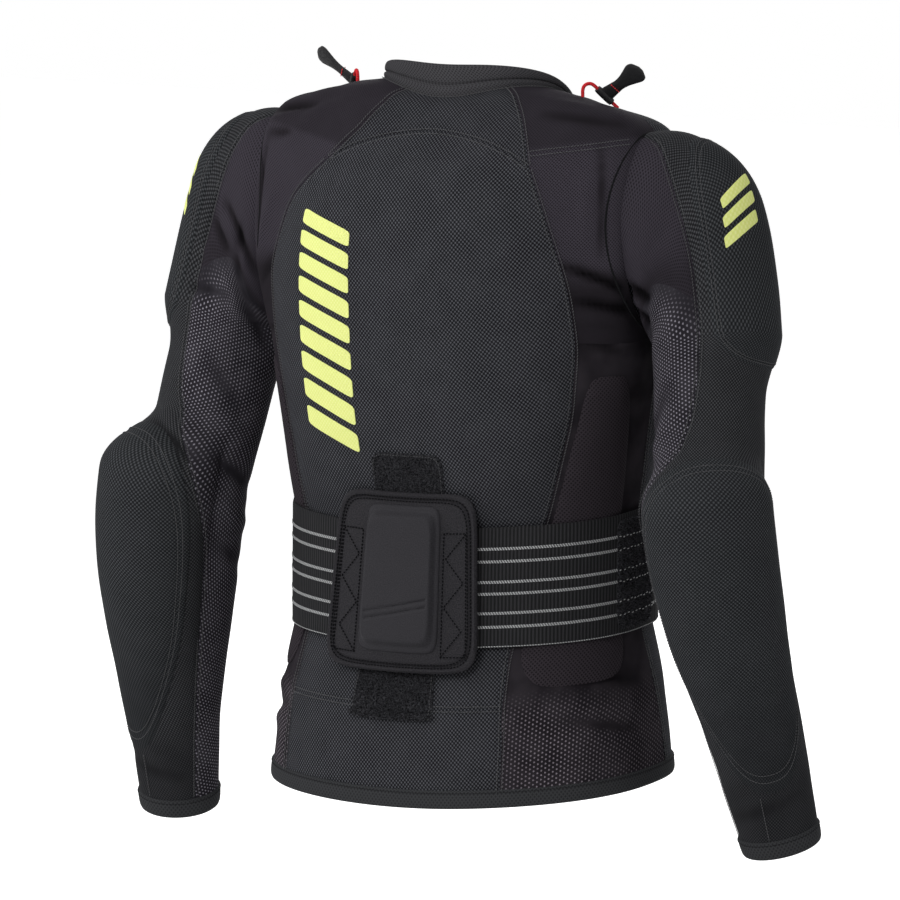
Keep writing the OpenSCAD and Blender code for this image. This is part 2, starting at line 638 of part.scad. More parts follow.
// Frame of the pull tab: +X along the cord's straight leg, +Z along the blade
tab_axis = unit(cord_route[tab_to] - cord_route[tab_from]);
tab_aim = [0.87, -0.07, 0.48];
tab_up = unit(tab_aim - (tab_aim * tab_axis) * tab_axis);
tab_face = cross(tab_up, tab_axis);
tab_middle = (cord_route[tab_from] + cord_route[tab_to]) / 2;
barrel_r = cord_d / 2 + tab_gap + 1.7;
module pull_tab(right_hand) {
    place = concat([for (i = [0:2]) [tab_axis[i], tab_face[i], tab_up[i], tab_middle[i]]], [[0, 0, 0, 1]]);
    barrel_len = norm(cord_route[tab_to] - cord_route[tab_from]) + 2;
    waist = tab_root_w * 0.62;
    half = [[tab_root_w / 2, 0], [waist / 2 + 0.6, tab_len * 0.4], [waist / 2 + 1.6, tab_len * 0.55],
        [tab_tip_w / 2, tab_len * 0.84], [tab_tip_w * 0.42, tab_len * 0.95], [tab_tip_w * 0.22, tab_len]];
    other_half = [for (i = [len(half) - 1:-1:0]) [-half[i][0], half[i][1]]];
    color([0.1, 0.1, 0.1])
        both_sides(right_hand)
            multmatrix(place)
                difference() {
                    union() {
                        translate([-barrel_len / 2, 0, 0])
                            rotate([0, 90, 0]) cylinder(h = barrel_len, r = barrel_r, $fn = 40);
                        rotate([90, 0, 0])
                            translate([0, 0, -tab_t / 2])
                                linear_extrude(tab_t)
                                    polygon(concat(half, other_half));
                    }
                    translate([-barrel_len, 0, 0])
                        rotate([0, 90, 0]) cylinder(h = 2 * barrel_len, r = cord_d / 2 + tab_gap, $fn = 40);
                }
}

// Sleeve: each row is the line's point, then the outward, inward, back and front radius
arm_y = 8;
arm_drop = 200;
head_in = 16;
head_rise = 80;
sleeve_rows = [
    [arm_x - head_in, 0, head_rise - arm_drop, arm_r, elbow_r + 6, elbow_r + 10, elbow_r + 10],
    [arm_x, arm_y, -arm_drop, arm_r, elbow_r - 6, elbow_r + 6, elbow_r + 6],
    [mix(arm_x, elbow_x, 0.57), mix(arm_y, elbow_y, 0.57), -mix(arm_drop, elbow_drop, 0.52),
        elbow_r + 1, elbow_r - 1, elbow_r + 1, elbow_r],
    [elbow_x, elbow_y, -elbow_drop, elbow_r - 2, elbow_r, elbow_r + 1, elbow_r - 1],
    [mix(elbow_x, wrist_x, 0.41), mix(elbow_y, wrist_y, 0.35) + forearm_bow,
        -mix(elbow_drop, wrist_drop, 0.35), elbow_r - 3, elbow_r + 1, elbow_r, elbow_r - 4],
    [mix(elbow_x, wrist_x, 0.77), mix(elbow_y, wrist_y, 0.68) + forearm_bow,
        -mix(elbow_drop, wrist_drop, 0.68), mix(elbow_r, wrist_r, 0.45), mix(elbow_r, wrist_r, 0.4),
        mix(elbow_r, wrist_r, 0.6), mix(elbow_r, wrist_r, 0.6)],
    [wrist_x, wrist_y, -wrist_drop, wrist_r, wrist_r, wrist_r, wrist_r]
];
wrist_t = 6;
function line_point(t) = let (r = curve(sleeve_rows, t)) [r[0], r[1], r[2]];
function line_frame(t) =
    let (d = unit(line_point(t + 0.01) - line_point(t - 0.01)), out = unit(cross(d, [0, 1, 0])))
    [d, out, cross(d, out) * -1];
function tube_base(a, t) =
    let (r = curve(sleeve_rows, t), f = line_frame(t), c = cos(a), s = sin(a))
    [r[0], r[1], r[2]] + (c >= 0 ? r[3] : r[4]) * c * f[1] + (s >= 0 ? r[5] : r[6]) * s * f[2];
head_reach_top = 74;
head_reach_arm = 110;
head_reach_low = 4;
// Head of the sleeve: a smooth sweep from the armhole to the ring at row 1
function head_base(a, w) =
    let (top = (1 + cos(a)) / 2, f = line_frame(1), p3 = tube_base(a, 1),
         p0 = body_base(90 - armhole_half_angle * sin(a), armhole_v + armhole_rise * cos(a)),
         p1 = p0 + unit(mix(f[0], f[1], top)) * mix(head_reach_low, head_reach_top, top),
         p2 = p3 - f[0] * mix(head_reach_low, head_reach_arm, top), k = 1 - w)
    k * k * k * p0 + 3 * k * k * w * p1 + 3 * k * w * w * p2 + w * w * w * p3;
function sleeve_base(a, t) = t < 1 ? head_base(a, t) : tube_base(a, t);
function sleeve_normal(a, t) =
    let (lo = t < 1 ? max(0, t - 0.02) : max(1, t - 0.02), hi = t < 1 ? min(1, t + 0.02) : t + 0.02,
         da = sleeve_base(a + 1, t) - sleeve_base(a - 1, t), dt = sleeve_base(a, hi) - sleeve_base(a, lo))
    unit(cross(dt, da));
function sleeve_point(a, t, off) = sleeve_base(a, t) + off * sleeve_normal(a, t);
sleeve_step = 15;
function sleeve_ring(rows, off) =
    [for (t = rows) [for (a = [0:sleeve_step:359]) sleeve_point(a, t, off)]];
module sleeve_tube(right_hand, rows) {
    both_sides(right_hand) sheet_solid(sleeve_ring(rows, 0), sleeve_ring(rows, -sleeve_t), true);
}
ring_gap = 0.003;
head_start = 0.02;
elbow_low_t = 3.4;
elbow_top_t = 1.8;
cuff_share = cuff_h / (wrist_drop - mix(elbow_drop, wrist_drop, 0.68));
module sleeve_head(right_hand) {
    color([0.24, 0.235, 0.26])
        sleeve_tube(right_hand, [head_start, 0.1, 0.2, 0.35, 0.5, 0.65, 0.8, 1 - ring_gap]);
}
module upper_sleeve(right_hand) {
    color([0.24, 0.235, 0.26])
        sleeve_tube(right_hand, [1 + ring_gap, 1.2, 1.4, 1.6, elbow_top_t - ring_gap]);
}
module elbow_gusset(right_hand) {
    color([0.24, 0.235, 0.26])
        sleeve_tube(right_hand, [elbow_top_t + ring_gap, 2.2, 2.6, 3, elbow_low_t - ring_gap]);
}
module forearm_sleeve(right_hand) {
    color([0.17, 0.17, 0.18])
        sleeve_tube(right_hand, concat([elbow_low_t + ring_gap], [for (t = [3.8:0.4:5.5]) t],
            [wrist_t - cuff_share - ring_gap]));
}
module cuff_binding(right_hand) {
    profile = [[0, 0.7], [0.5, 1], [1, 0.7]];
    function ring(side) = [for (p = profile) [for (a = [0:sleeve_step:359])
        sleeve_point(a, wrist_t - cuff_share * (1 - p[0]), -sleeve_t / 2 + side * p[1] * cuff_t / 2)]];
    color([0.16, 0.16, 0.17]) both_sides(right_hand) sheet_solid(ring(1), ring(-1), true);
}

// Armour: a pad on the sleeve and a cover that follows it, both on the same lines
function armour_sheet(angles, rows, swell, off) =
    [for (t = rows) [for (a = angles) sleeve_point(a, t, swell(a, t) + off)]];
shoulder_angles = [for (a = [-60:15:60]) a];
shoulder_ts = [0.2, 0.35, 0.5, 0.65, 0.8, 0.992, 1.2, 1.4, 1.6];
function shoulder_swell(a, t) =
    layer_gap + shoulder_crown * hump((a + 60) / 120) * smooth((t - 0.2) / 0.4) * smooth((1.6 - t) / 0.75);
elbow_half_turn = 75;
elbow_angles = [for (i = [0:10]) elbow_pad_turn - elbow_half_turn + i * 15];
elbow_ts = [for (t = [2.2:0.2:5.41]) t];
function elbow_swell(a, t) =
    layer_gap + elbow_crown * pow(max(0, cos((a - elbow_pad_turn) / elbow_half_turn * 90)), 0.7)
        * smooth((t - 2.2) / 0.75) * smooth((5.4 - t) / 2.5);
// Share of the cover's hollow that the pad fills, and the clearance under the cover
pad_fill = 0.88;
cover_gap = 0.5;
module armour_pad(right_hand, angles, rows, swell) {
    inner_angles = [for (i = [1:len(angles) - 2]) angles[i]];
    inner_rows = [for (j = [1:len(rows) - 2]) rows[j]];
    filled = function(a, t) mix(layer_gap, swell(a, t), pad_fill);
    both_sides(right_hand)
        sheet_solid(armour_sheet(inner_angles, inner_rows, filled, 0),
            armour_sheet(inner_angles, inner_rows, function(a, t) layer_gap, 0));
}
module armour_cover(right_hand, angles, rows, swell) {
    both_sides(right_hand)
        sheet_solid(armour_sheet(angles, rows, swell, cover_gap + armour_cover_t),
            armour_sheet(angles, rows, swell, cover_gap));
}
module shoulder_armour(right_hand) {
    color([0.1, 0.1, 0.1])
        armour_pad(right_hand, shoulder_angles, shoulder_ts, function(a, t) shoulder_swell(a, t));
}
module shoulder_cover(right_hand) {
    color([0.16, 0.16, 0.16])
        armour_cover(right_hand, shoulder_angles, shoulder_ts, function(a, t) shoulder_swell(a, t));
}
module elbow_armour(right_hand) {
    color([0.1, 0.1, 0.1]) armour_pad(right_hand, elbow_angles, elbow_ts, function(a, t) elbow_swell(a, t));
}
module elbow_cover(right_hand) {
    color([0.17, 0.17, 0.18])
        armour_cover(right_hand, elbow_angles, elbow_ts, function(a, t) elbow_swell(a, t));
}

back_panel();
back_protector_core();
back_lining();
back_yoke();
lower_back_panel();
shoulder_panel(false);  // shoulder_panel_L
shoulder_panel(true);  // shoulder_panel_R
side_panel(false);  // side_panel_L
side_panel(true);  // side_panel_R
flank_pad(false);  // flank_pad_L
flank_pad(true);  // flank_pad_R
front_panel(false);  // front_panel_L
front_panel(true);  // front_panel_R
collar();
hem_binding();
zip_half(false);  // zip_half_L
zip_half(true);  // zip_half_R
zip_slider();
zip_puller();
belt_band(false);  // belt_band_L
belt_band(true);  // belt_band_R
loop_patch(false);  // loop_patch_L
loop_patch(true);  // loop_patch_R
belt_flap_over();
belt_flap_under();
front_loop_patch();
lumbar_foam();
lumbar_plate_backing();
lumbar_plate_pad();
upper_hook_strip();
lower_hook_strip();
cord_loop(false);  // cord_loop_L
cord_loop(true);  // cord_loop_R
pull_tab(false);  // pull_tab_L
pull_tab(true);  // pull_tab_R
sleeve_head(false);  // sleeve_head_L
sleeve_head(true);  // sleeve_head_R
upper_sleeve(false);  // upper_sleeve_L
upper_sleeve(true);  // upper_sleeve_R
shoulder_armour(false);  // shoulder_armour_L
shoulder_armour(true);  // shoulder_armour_R
shoulder_cover(false);  // shoulder_cover_L
shoulder_cover(true);  // shoulder_cover_R
elbow_gusset(false);  // elbow_gusset_L
elbow_gusset(true);  // elbow_gusset_R
forearm_sleeve(false);  // forearm_sleeve_L
forearm_sleeve(true);  // forearm_sleeve_R
elbow_armour(false);  // elbow_armour_L
elbow_armour(true);  // elbow_armour_R
elbow_cover(false);  // elbow_cover_L
elbow_cover(true);  // elbow_cover_R
cuff_binding(false);  // cuff_binding_L
cuff_binding(true);  // cuff_binding_R
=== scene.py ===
"""Looks of a long-sleeved protection jacket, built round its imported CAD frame.

Sizes are in millimetres until a mesh is made. The wearer faces -Y and their left is +X. On the body, u is
the angle round it (0 at the back, 90 at the left) and v climbs from the hem (0) to the neck (8). On a
sleeve, a is the angle round it (0 outwards, 90 at the back) and t runs from the armhole (0) to the wrist (6).
"""

import logging
import math
from dataclasses import dataclass
from enum import Enum
from functools import lru_cache
from typing import Callable, Sequence

import bpy
import numpy as np
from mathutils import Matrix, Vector


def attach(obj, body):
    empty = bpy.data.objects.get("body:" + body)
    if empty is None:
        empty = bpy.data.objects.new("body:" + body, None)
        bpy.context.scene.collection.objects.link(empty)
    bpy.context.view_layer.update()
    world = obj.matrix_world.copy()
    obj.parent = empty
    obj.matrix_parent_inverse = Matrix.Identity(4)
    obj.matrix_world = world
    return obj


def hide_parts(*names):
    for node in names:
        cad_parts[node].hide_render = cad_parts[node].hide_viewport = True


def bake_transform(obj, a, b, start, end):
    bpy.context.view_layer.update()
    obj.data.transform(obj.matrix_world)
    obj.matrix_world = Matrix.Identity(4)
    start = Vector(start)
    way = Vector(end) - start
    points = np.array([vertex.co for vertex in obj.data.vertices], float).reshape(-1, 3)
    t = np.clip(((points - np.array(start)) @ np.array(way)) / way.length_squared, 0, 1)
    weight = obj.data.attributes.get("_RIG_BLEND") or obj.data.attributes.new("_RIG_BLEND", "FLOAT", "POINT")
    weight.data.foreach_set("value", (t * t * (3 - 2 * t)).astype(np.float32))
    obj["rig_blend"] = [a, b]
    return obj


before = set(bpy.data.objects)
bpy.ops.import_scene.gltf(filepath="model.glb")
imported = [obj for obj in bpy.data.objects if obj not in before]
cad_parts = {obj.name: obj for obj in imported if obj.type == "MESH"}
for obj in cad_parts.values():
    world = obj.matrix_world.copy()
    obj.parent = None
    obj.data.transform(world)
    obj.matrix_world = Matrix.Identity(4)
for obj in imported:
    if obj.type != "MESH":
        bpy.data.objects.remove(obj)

LOG = logging.getLogger("jacket")
Array = np.ndarray
MM = 0.001
SHARP_ANGLE = 55.0
SEAM_ROOM, HEM_ROOM = 0.12, 0.03
SEAM_GAP, SEAM_RISE = 4.2, 0.315
# Depth of a fold at which its painted shade is full, and how dark that painted shade is.
FOLD_DEPTH, FOLD_PAINTED_SHADE = 4.5, 0.8
LEAST_FILL = 0.35
CLOUD_SCALE = 0.035
ROLL_POWER, ROLL_GIRTH = 3, 40.0
RULER_A, RULER_T, RULER_FROM = 5.0, 0.05, -180.0
MIX_SHARE, MIX_LOW, MIX_HIGH, MIX_OUT = 0, 6, 7, 2
BLACK, WHITE = (0.0, 0.0, 0.0, 1.0), (1.0, 1.0, 1.0, 1.0)


class Side(Enum):
    """A side of the wearer, with the sign of its X."""

    LEFT = 1
    RIGHT = -1

    @property
    def tag(self) -> str:
        """Letter that ends the names of this side's pieces."""
        return "L" if self is Side.LEFT else "R"

    def place(self, points: Array) -> Array:
        """Points of the left side, mirrored where this is the right side."""
        return points * np.array([self.value, 1.0, 1.0])


def mix(a: Array, b: Array, t: Array) -> Array:
    """Straight mix of a and b at the share t."""
    return a + (b - a) * t


def clamp(x: Array) -> Array:
    """Values held between 0 and 1."""
    return np.clip(x, 0.0, 1.0)


def bell(x: Array, width: float) -> Array:
    """Bell over 0, which has dropped to about a third at the width: e to the minus square of x over it."""
    return np.exp(-(x / width) ** 2)


def smooth(x: Array) -> Array:
    """Smooth step that rises from 0 to 1 as x goes from 0 to 1."""
    c = clamp(x)
    return c * c * (3.0 - 2.0 * c)


def hump(x: Array) -> Array:
    """Flat-topped hump over 0 to 1: one less the fourth power of the distance from the middle."""
    return 1.0 - np.abs(2.0 * clamp(x) - 1.0) ** 4


def unit(p: Array) -> Array:
    """Directions of length one along the last axis."""
    return p / np.maximum(np.linalg.norm(p, axis=-1, keepdims=True), 1e-9)


def paired(a: Array | float, t: Array | float) -> tuple[Array, Array]:
    """Two parameters as arrays of one shape."""
    return np.broadcast_arrays(np.asarray(a, float), np.asarray(t, float))


def lengths(points: Array, axis: int = 0) -> Array:
    """Length from the start of each line of points along an axis: the running sum of its steps."""
    steps = np.linalg.norm(np.diff(points, axis=axis), axis=-1).cumsum(axis)
    return np.insert(steps, 0, 0.0, axis=axis)


def ruled(across: Array, along: Array) -> Array:
    """UVs of a grid whose columns lie at the lengths across and whose rows lie at the lengths along."""
    return np.stack(np.broadcast_arrays(across[None], along[:, None]), -1)


def rounded(turn: Array, power: float) -> tuple[Array, Array]:
    """Places across and up on a superellipse: the cosine and sine, pressed out to its line."""
    c, s = np.cos(turn), np.sin(turn)
    out = (np.abs(c) ** power + np.abs(s) ** power) ** (-1.0 / power)
    return c * out, s * out


def circle(count: int) -> Array:
    """Even turns round a circle, in radians, without the last, which is the first again."""
    return np.linspace(0.0, 2.0 * np.pi, count + 1)[:-1]


def laced(knots: Sequence[float], shares: Sequence[float]) -> Array:
    """Knots with a straight mix between each one and the next, at the shares given."""
    values = np.repeat(np.array(knots, float), 2)[:-1]
    values[1::2] = mix(values[1::2], values[2::2], np.array(shares))
    return values


def curve(table: Array, v: Array) -> Array:
    """Smooth curve through a table's rows, one row for each whole number of v.

    Args:
        table: Rows of values.
        v: Places along the table.

    Returns:
        The cubic through the two rows on either side of each place.
    """
    ends = np.vstack([2 * table[0] - table[1], table, 2 * table[-1] - table[-2]])
    v = np.asarray(v, float)
    i = np.clip(np.floor(v).astype(int), 0, len(table) - 2)
    f = (v - i)[..., None]
    a, b, c, d = (ends[i + k] for k in range(4))
    cubic = (2 * a - 5 * b + 4 * c - d) * f**2 + (3 * b - a - 3 * c + d) * f**3
    return 0.5 * (2 * b + (c - a) * f + cubic)


def eased(table: Sequence[tuple[float, float]], x: Array, reach: float) -> Array:
    """Straight lines through a table of pairs, rounded at their corners.

    Args:
        table: Pairs of place and value.
        x: Places to read.
        reach: Distance on either side over which the corners are averaged.

    Returns:
        The mean of nine readings across twice the reach.
    """
    pairs = np.array(table, float)
    shifts = np.linspace(-reach, reach, 9)
    return np.mean([np.interp(x + s, pairs[:, 0], pairs[:, 1]) for s in shifts], axis=0)


def ripple(points: Array, wave: float, seed: int) -> Array:
    """Soft unevenness of cloth: the mean of seven sine waves in seeded directions.

    Args:
        points: Places in millimetres.
        wave: Typical wave length.
        seed: Number that fixes the directions.

    Returns:
        Heights of about -1 to 1.
    """
    rng = np.random.default_rng(seed)
    ways = unit(rng.normal(size=(7, 3))) * rng.uniform(0.7, 1.5, (7, 1))
    starts = rng.uniform(0.0, 2.0 * np.pi, 7)
    return np.sin(points @ ways.T * 2.0 * np.pi / wave + starts).mean(-1) * 1.6


@dataclass
class Solid:
    """Closed form: points in millimetres, four-cornered faces, their UVs, blend shares and tones, which below
    nought are painted shade.
    """

    points: Array
    quads: Array
    corners: Array
    share: Array
    tone: Array


def joined(solids: Sequence[Solid]) -> Solid:
    """One solid that holds several, with the corner numbers moved on."""
    starts = np.cumsum([0] + [len(s.points) for s in solids[:-1]])
    moved = [(s.points, s.quads + k, s.corners, s.share, s.tone) for s, k in zip(solids, starts)]
    return Solid(*(np.concatenate(part) for part in zip(*moved)))


def closed(number: Array) -> Array:
    """Grid of corner numbers with its first column again after its last."""
    return np.concatenate([number, number[:, :1]], 1)


def copied(faces: Array, corners: int, count: int) -> Array:
    """Faces of many copies of one small form that has so many corners."""
    return (faces[None] + corners * np.arange(count)[:, None, None]).reshape(-1, 4)


def cells_of(grid: Array) -> Array:
    """Four corners of each cell of a grid, turned to face outwards where rows go up and columns go on."""
    four = np.stack([grid[:-1, :-1], grid[1:, :-1], grid[1:, 1:], grid[:-1, 1:]], 2)
    return four.reshape((-1, 4) + grid.shape[2:])


def shell(outer: Array, inner: Array, uv: Array, share: Array | float = 0.0,
          tone: Array | float = 1.0, ring: bool = False) -> Solid:
    """Closed form between an outer and an inner grid of points.

    Args:
        outer: Outer points, rows by columns.
        inner: Inner points on the same grid.
        uv: Lengths across and up in millimetres, with one more column for a ring.
        share: Blend share of each point of the grid.
        tone: Pattern strength of each point of the grid, and painted shade where it is below nought.
        ring: Whether the last column joins the first.

    Returns:
        Both skins and the rims between them.
    """
    rows, cols = outer.shape[:2]
    count = rows * cols
    number = np.arange(count).reshape(rows, cols)
    if ring:
        number = closed(number)
    skin = cells_of(number)
    corners = cells_of(uv)
    low, high = number[0], number[-1]
    rims = [(low[:-1], low[1:], uv[0]), (high[1:], high[:-1], uv[-1])]
    if not ring:
        left, right = number[:, 0], number[:, -1]
        rims += [(left[1:], left[:-1], uv[:, 0]), (right[:-1], right[1:], uv[:, -1])]
    faces = [skin, skin[:, ::-1] + count]
    uvs = [corners, corners[:, ::-1]]
    for first, second, edge in rims:
        faces.append(np.stack([first, second, second + count, first + count], -1))
        uvs.append(np.stack([edge[:-1], edge[1:], edge[1:], edge[:-1]], 1))
    return Solid(
        np.concatenate([outer.reshape(-1, 3), inner.reshape(-1, 3)]),
        np.concatenate(faces),
        np.concatenate(uvs),
        np.tile(np.broadcast_to(share, (rows, cols)).ravel(), 2),
        np.tile(np.broadcast_to(tone, (rows, cols)).ravel(), 2),
    )


def rolled(low: Array, high: Array, out: Array, swell: Array | float, sink: float, sides: int,
           run: Array, flip: bool) -> Solid:
    """Rolled binding: an oval section carried round a closed edge, joined up both ways.

    Args:
        low: Points of the binding's first edge.
        high: Points of its second edge.
        out: Outward directions.
        swell: Half its thickness.
        sink: Distance that its middle is set inwards.
        sides: Points round the section.
        run: Lengths along the edge, with the first again at the end.
        flip: Whether the section is counted the other way, which keeps the skin outwards.

    Returns:
        The one closed skin.
    """
    middle, along = (low + high) / 2, (high - low) / 2
    c, s = rounded(circle(sides), ROLL_POWER)
    lay = c[:, None, None] * along + s[:, None, None] * np.reshape(swell, (-1, 1)) * out - sink * out
    uv = ruled(run, np.linspace(0.0, ROLL_GIRTH, sides + 1))
    way = slice(None, None, -1) if flip else slice(None)
    count = sides * len(middle)
    number = closed(closed(np.arange(count).reshape(sides, -1)).T).T
    return Solid((middle + lay)[way].reshape(-1, 3), cells_of(number), cells_of(uv[way]),
                 np.zeros(count), np.ones(count))


def tube(line: Array, reference: Sequence[float], radius: float, bore: float, sides: int,
         uv: Array) -> Solid:
    """Round tube along a line of points.

    Args:
        line: Points of its middle.
        reference: Direction that the line never follows, from which the section is turned.
        radius: Outer radius.
        bore: Inner radius.
        sides: Points round the section.
        uv: Lengths round and along, with one more column than the sides.

    Returns:
        Outer and inner skins with their end rims.
    """
    ahead = unit(np.gradient(line, axis=0))
    across = unit(np.cross(ahead, np.array(reference)))
    turn = circle(sides)[::-1, None]
    spoke = np.cos(turn) * across[:, None] + np.sin(turn) * np.cross(ahead, across)[:, None]
    return shell(line[:, None] + radius * spoke, line[:, None] + bore * spoke, uv[:, ::-1], ring=True)


def disc(count: int, power: float) -> tuple[Array, Array, Array]:
    """Concentric grid over a superellipse: square rings pressed into rounded ones.

    Args:
        count: Points along each side of the grid.
        power: Squareness of the outline.

    Returns:
        Places across and up from -1 to 1, and the share of the way to the edge.
    """
    side = np.linspace(-1.0, 1.0, count)
    x, y = np.meshgrid(side, side)
    wide = np.abs(x) >= np.abs(y)
    reach = np.where(wide, x, y)
    turn = np.where(wide, y, x) / np.where(reach == 0, 1.0, reach) * np.pi / 4
    c, s = np.where(wide, np.cos(turn), np.sin(turn)), np.where(wide, np.sin(turn), np.cos(turn))
    out = (np.abs(c) ** power + np.abs(s) ** power) ** (-1.0 / power)
    return reach * c * out, reach * s * out, np.abs(reach)


class Surface:
    """Curved sheet with two parameters, whose outward side is along-cross-across."""

    def base(self, a: Array, t: Array) -> Array:
        """Points of the sheet."""
        raise NotImplementedError

    @lru_cache(maxsize=None)
    def ruler(self) -> Array:
        """Lengths round from a = 0 and along from t = 0, at even marks of both."""
        a, t = np.meshgrid(np.arange(RULER_FROM, 541.0, RULER_A), np.arange(0.0, 8.01, RULER_T))
        p = self.base(a, t)
        across = lengths(p, 1)
        return np.stack([across - across[:, a[0] == 0.0], lengths(p)], -1)

    def flat(self, a: Array, t: Array) -> Array:
        """Lengths round and along the sheet, read from its ruler by straight mixing between the marks.

        Args:
            a: First parameter.
            t: Second parameter.

        Returns:
            Pairs of lengths.
        """
        marks = self.ruler()
        x = np.clip((a - RULER_FROM) / RULER_A, 0.0, marks.shape[1] - 1.001)
        y = np.clip(t / RULER_T, 0.0, marks.shape[0] - 1.001)
        i, j = x.astype(int), y.astype(int)
        across, up = (x - i)[..., None], (y - j)[..., None]
        low = mix(marks[j, i], marks[j, i + 1], across)
        return mix(low, mix(marks[j + 1, i], marks[j + 1, i + 1], across), up)

    def shift(self, a: Array, t: Array) -> Array:
        """Extra move of the sheet's points, which is nought unless a surface says otherwise."""
        return np.zeros(a.shape + (3,))

    def normal(self, a: Array, t: Array) -> Array:
        """Outward directions of the sheet, from small steps both ways."""
        side = self.base(a + 0.4, t) - self.base(a - 0.4, t)
        along = self.base(a, t + 0.01) - self.base(a, t - 0.01)
        return unit(np.cross(along, side))

    def point(self, a: Array, t: Array, off: Array | float = 0.0) -> Array:
        """Points at a distance off along the outward directions."""
        a, t, off = np.broadcast_arrays(np.asarray(a, float), np.asarray(t, float), np.asarray(off, float))
        return self.base(a, t) + off[..., None] * self.normal(a, t) + self.shift(a, t)


@dataclass(frozen=True)
class Torso(Surface):
    """Body of the jacket, with the sizes of the part's source."""

    neck_half_w: float = 80
    neck_back_d: float = 60
    neck_front_d: float = 84
    neck_front_drop: float = 62
    neck_side_drop: float = -3
    shoulder_half_w: float = 172
    shoulder_back_d: float = 94
    shoulder_drop: float = 26
    chest_half_w: float = 175
    chest_back_d: float = 118
    armpit_drop: float = 195
    waist_half_w: float = 146
    waist_back_d: float = 102
    waist_drop: float = 400
    hem_half_w: float = 173
    hem_back_d: float = 132
    hem_drop: float = 570
    front_lean: float = 0.05
    back_tilt: float = 14
    square: float = 2.4
    neck_square: float = 2.1
    armhole_half_angle: float = 17.05
    armhole_lift: float = 18.0
    armhole_reach: float = 0.62
    hem_top_v: float = 0.226
    protector_low_v: float = 2.01

    def rows(self) -> Array:
        """Drop, half width, back depth, rise at the back, rise at the front and squareness of nine rows."""
        tilt, front, side = self.back_tilt, self.neck_front_drop, self.neck_side_drop
        drop = laced([self.hem_drop, self.waist_drop, self.armpit_drop, self.shoulder_drop, side],
                     [0.42, 0.49, 0.526, 0.76])
        half = laced([self.hem_half_w, self.waist_half_w, self.chest_half_w, self.shoulder_half_w,
                      self.neck_half_w], [0.3, 0.46, 0.25, 0.587])
        back = laced([self.hem_back_d, self.waist_back_d, self.chest_back_d, self.shoulder_back_d,
                      self.neck_back_d], [0.3, 0.56, 0.14, 0.588])
        rise_back = [-tilt - 4, -tilt, -tilt, -0.7 * tilt, -0.3 * tilt, 0, -22, -6, side]
        rise_front = [tilt + 2, tilt, tilt, 0.6 * tilt, 0, -0.4 * front, -front - 8, -front - 4, side - front]
        square = [self.square] * 7 + [mix(self.square, self.neck_square, 0.67), self.neck_square]
        return np.stack([-drop, half, back, rise_back, rise_front, square], -1)

    def front_depth(self, z: Array) -> Array:
        """Depth of the front on the straight line that the zip follows."""
        return self.neck_front_d + self.front_lean * (-self.neck_front_drop - z)

    def base(self, a: Array, t: Array) -> Array:
        """Points of the body: a superellipse at each row, tilted from back to front.

        Args:
            a: Angle round the body.
            t: Row from the hem to the neck.

        Returns:
            Points in millimetres.
        """
        a, t = paired(a, t)
        drop, half, back, rise_back, rise_front, square = np.moveaxis(curve(self.rows(), t), -1, 0)
        s, c = np.sin(np.radians(a)), np.cos(np.radians(a))
        depth = np.where(c >= 0, back, self.front_depth(drop + rise_front))
        k = ((np.abs(s) / half) ** square + (np.abs(c) / depth) ** square) ** (-1.0 / square)
        z = drop + (rise_back - rise_front) / 2 * c + (rise_back + rise_front) / 2 * c * c
        return np.stack([k * s, k * c, z], -1)

    def back_edge(self, v: Array, side: Side) -> Array:
        """Angle of the seam beside the back, up to the collar, which leans a little to one side."""
        left = [(0, 51), (1, 53), (1.5, 54), (2.1, 55), (2.7, 57), (3.4, 60.5), (4, 62.5), (4.5, 62),
                (5.16, 55), (5.66, 43), (6.2, 36), (7, 33), (8, 32)]
        right = [(0, 37), (1.16, 39), (1.5, 41.5), (2, 49), (2.66, 55), (3.4, 60), (3.96, 60.3),
                 (4.46, 57.8), (5.08, 52.5), (5.66, 48.5), (6.1, 48.8), (7.16, 51), (8, 52)]
        return eased(left if side is Side.LEFT else right, v, 0.12)

    def side_edge(self, v: Array) -> Array:
        """Angle of the seam under the arm."""
        return 90.0 + 8.0 * clamp(1.0 - v / 4.0)

    def arch_v(self, u: Array) -> Array:
        """Row of the arched seam over the back panel."""
        return 5.66 + 0.82 * (1.0 - clamp(np.abs(u + 2.8) / 45.8) ** 2)

    def armhole_rise(self, a: Array) -> Array:
        """Lift of the armhole's edge at an angle round it, halfway between the body's side and the arm's."""
        turn = np.radians(a)
        side = self.normal(90 - self.armhole_half_angle * np.sin(turn), 5 + np.cos(turn))
        arm = np.stack([np.full_like(turn, 0.3), np.sin(turn), np.cos(turn)], -1)
        height = self.armhole_lift * np.sin(turn) ** 2
        return unit(side + arm) * height[..., None]

    def shift(self, a: Array, t: Array) -> Array:
        """Soft rise towards each armhole, so that the shoulder flows into the sleeve."""
        across, up = (90 - np.abs(a)) / self.armhole_half_angle, t - 5.0
        away = np.maximum(np.hypot(across, up) - 1.0, 0.0) / self.armhole_reach
        rise = self.armhole_rise(np.degrees(np.arctan2(across, up))) * np.exp(-away ** 2)[..., None]
        return rise * np.stack([np.sign(a), np.ones_like(a), np.ones_like(a)], -1)

    def armhole_edge(self, v: Array) -> Array:
        """Half angle of the armhole at a row."""
        return self.armhole_half_angle * np.sqrt(np.maximum(0.0, 1.0 - (v - 5.0) ** 2))


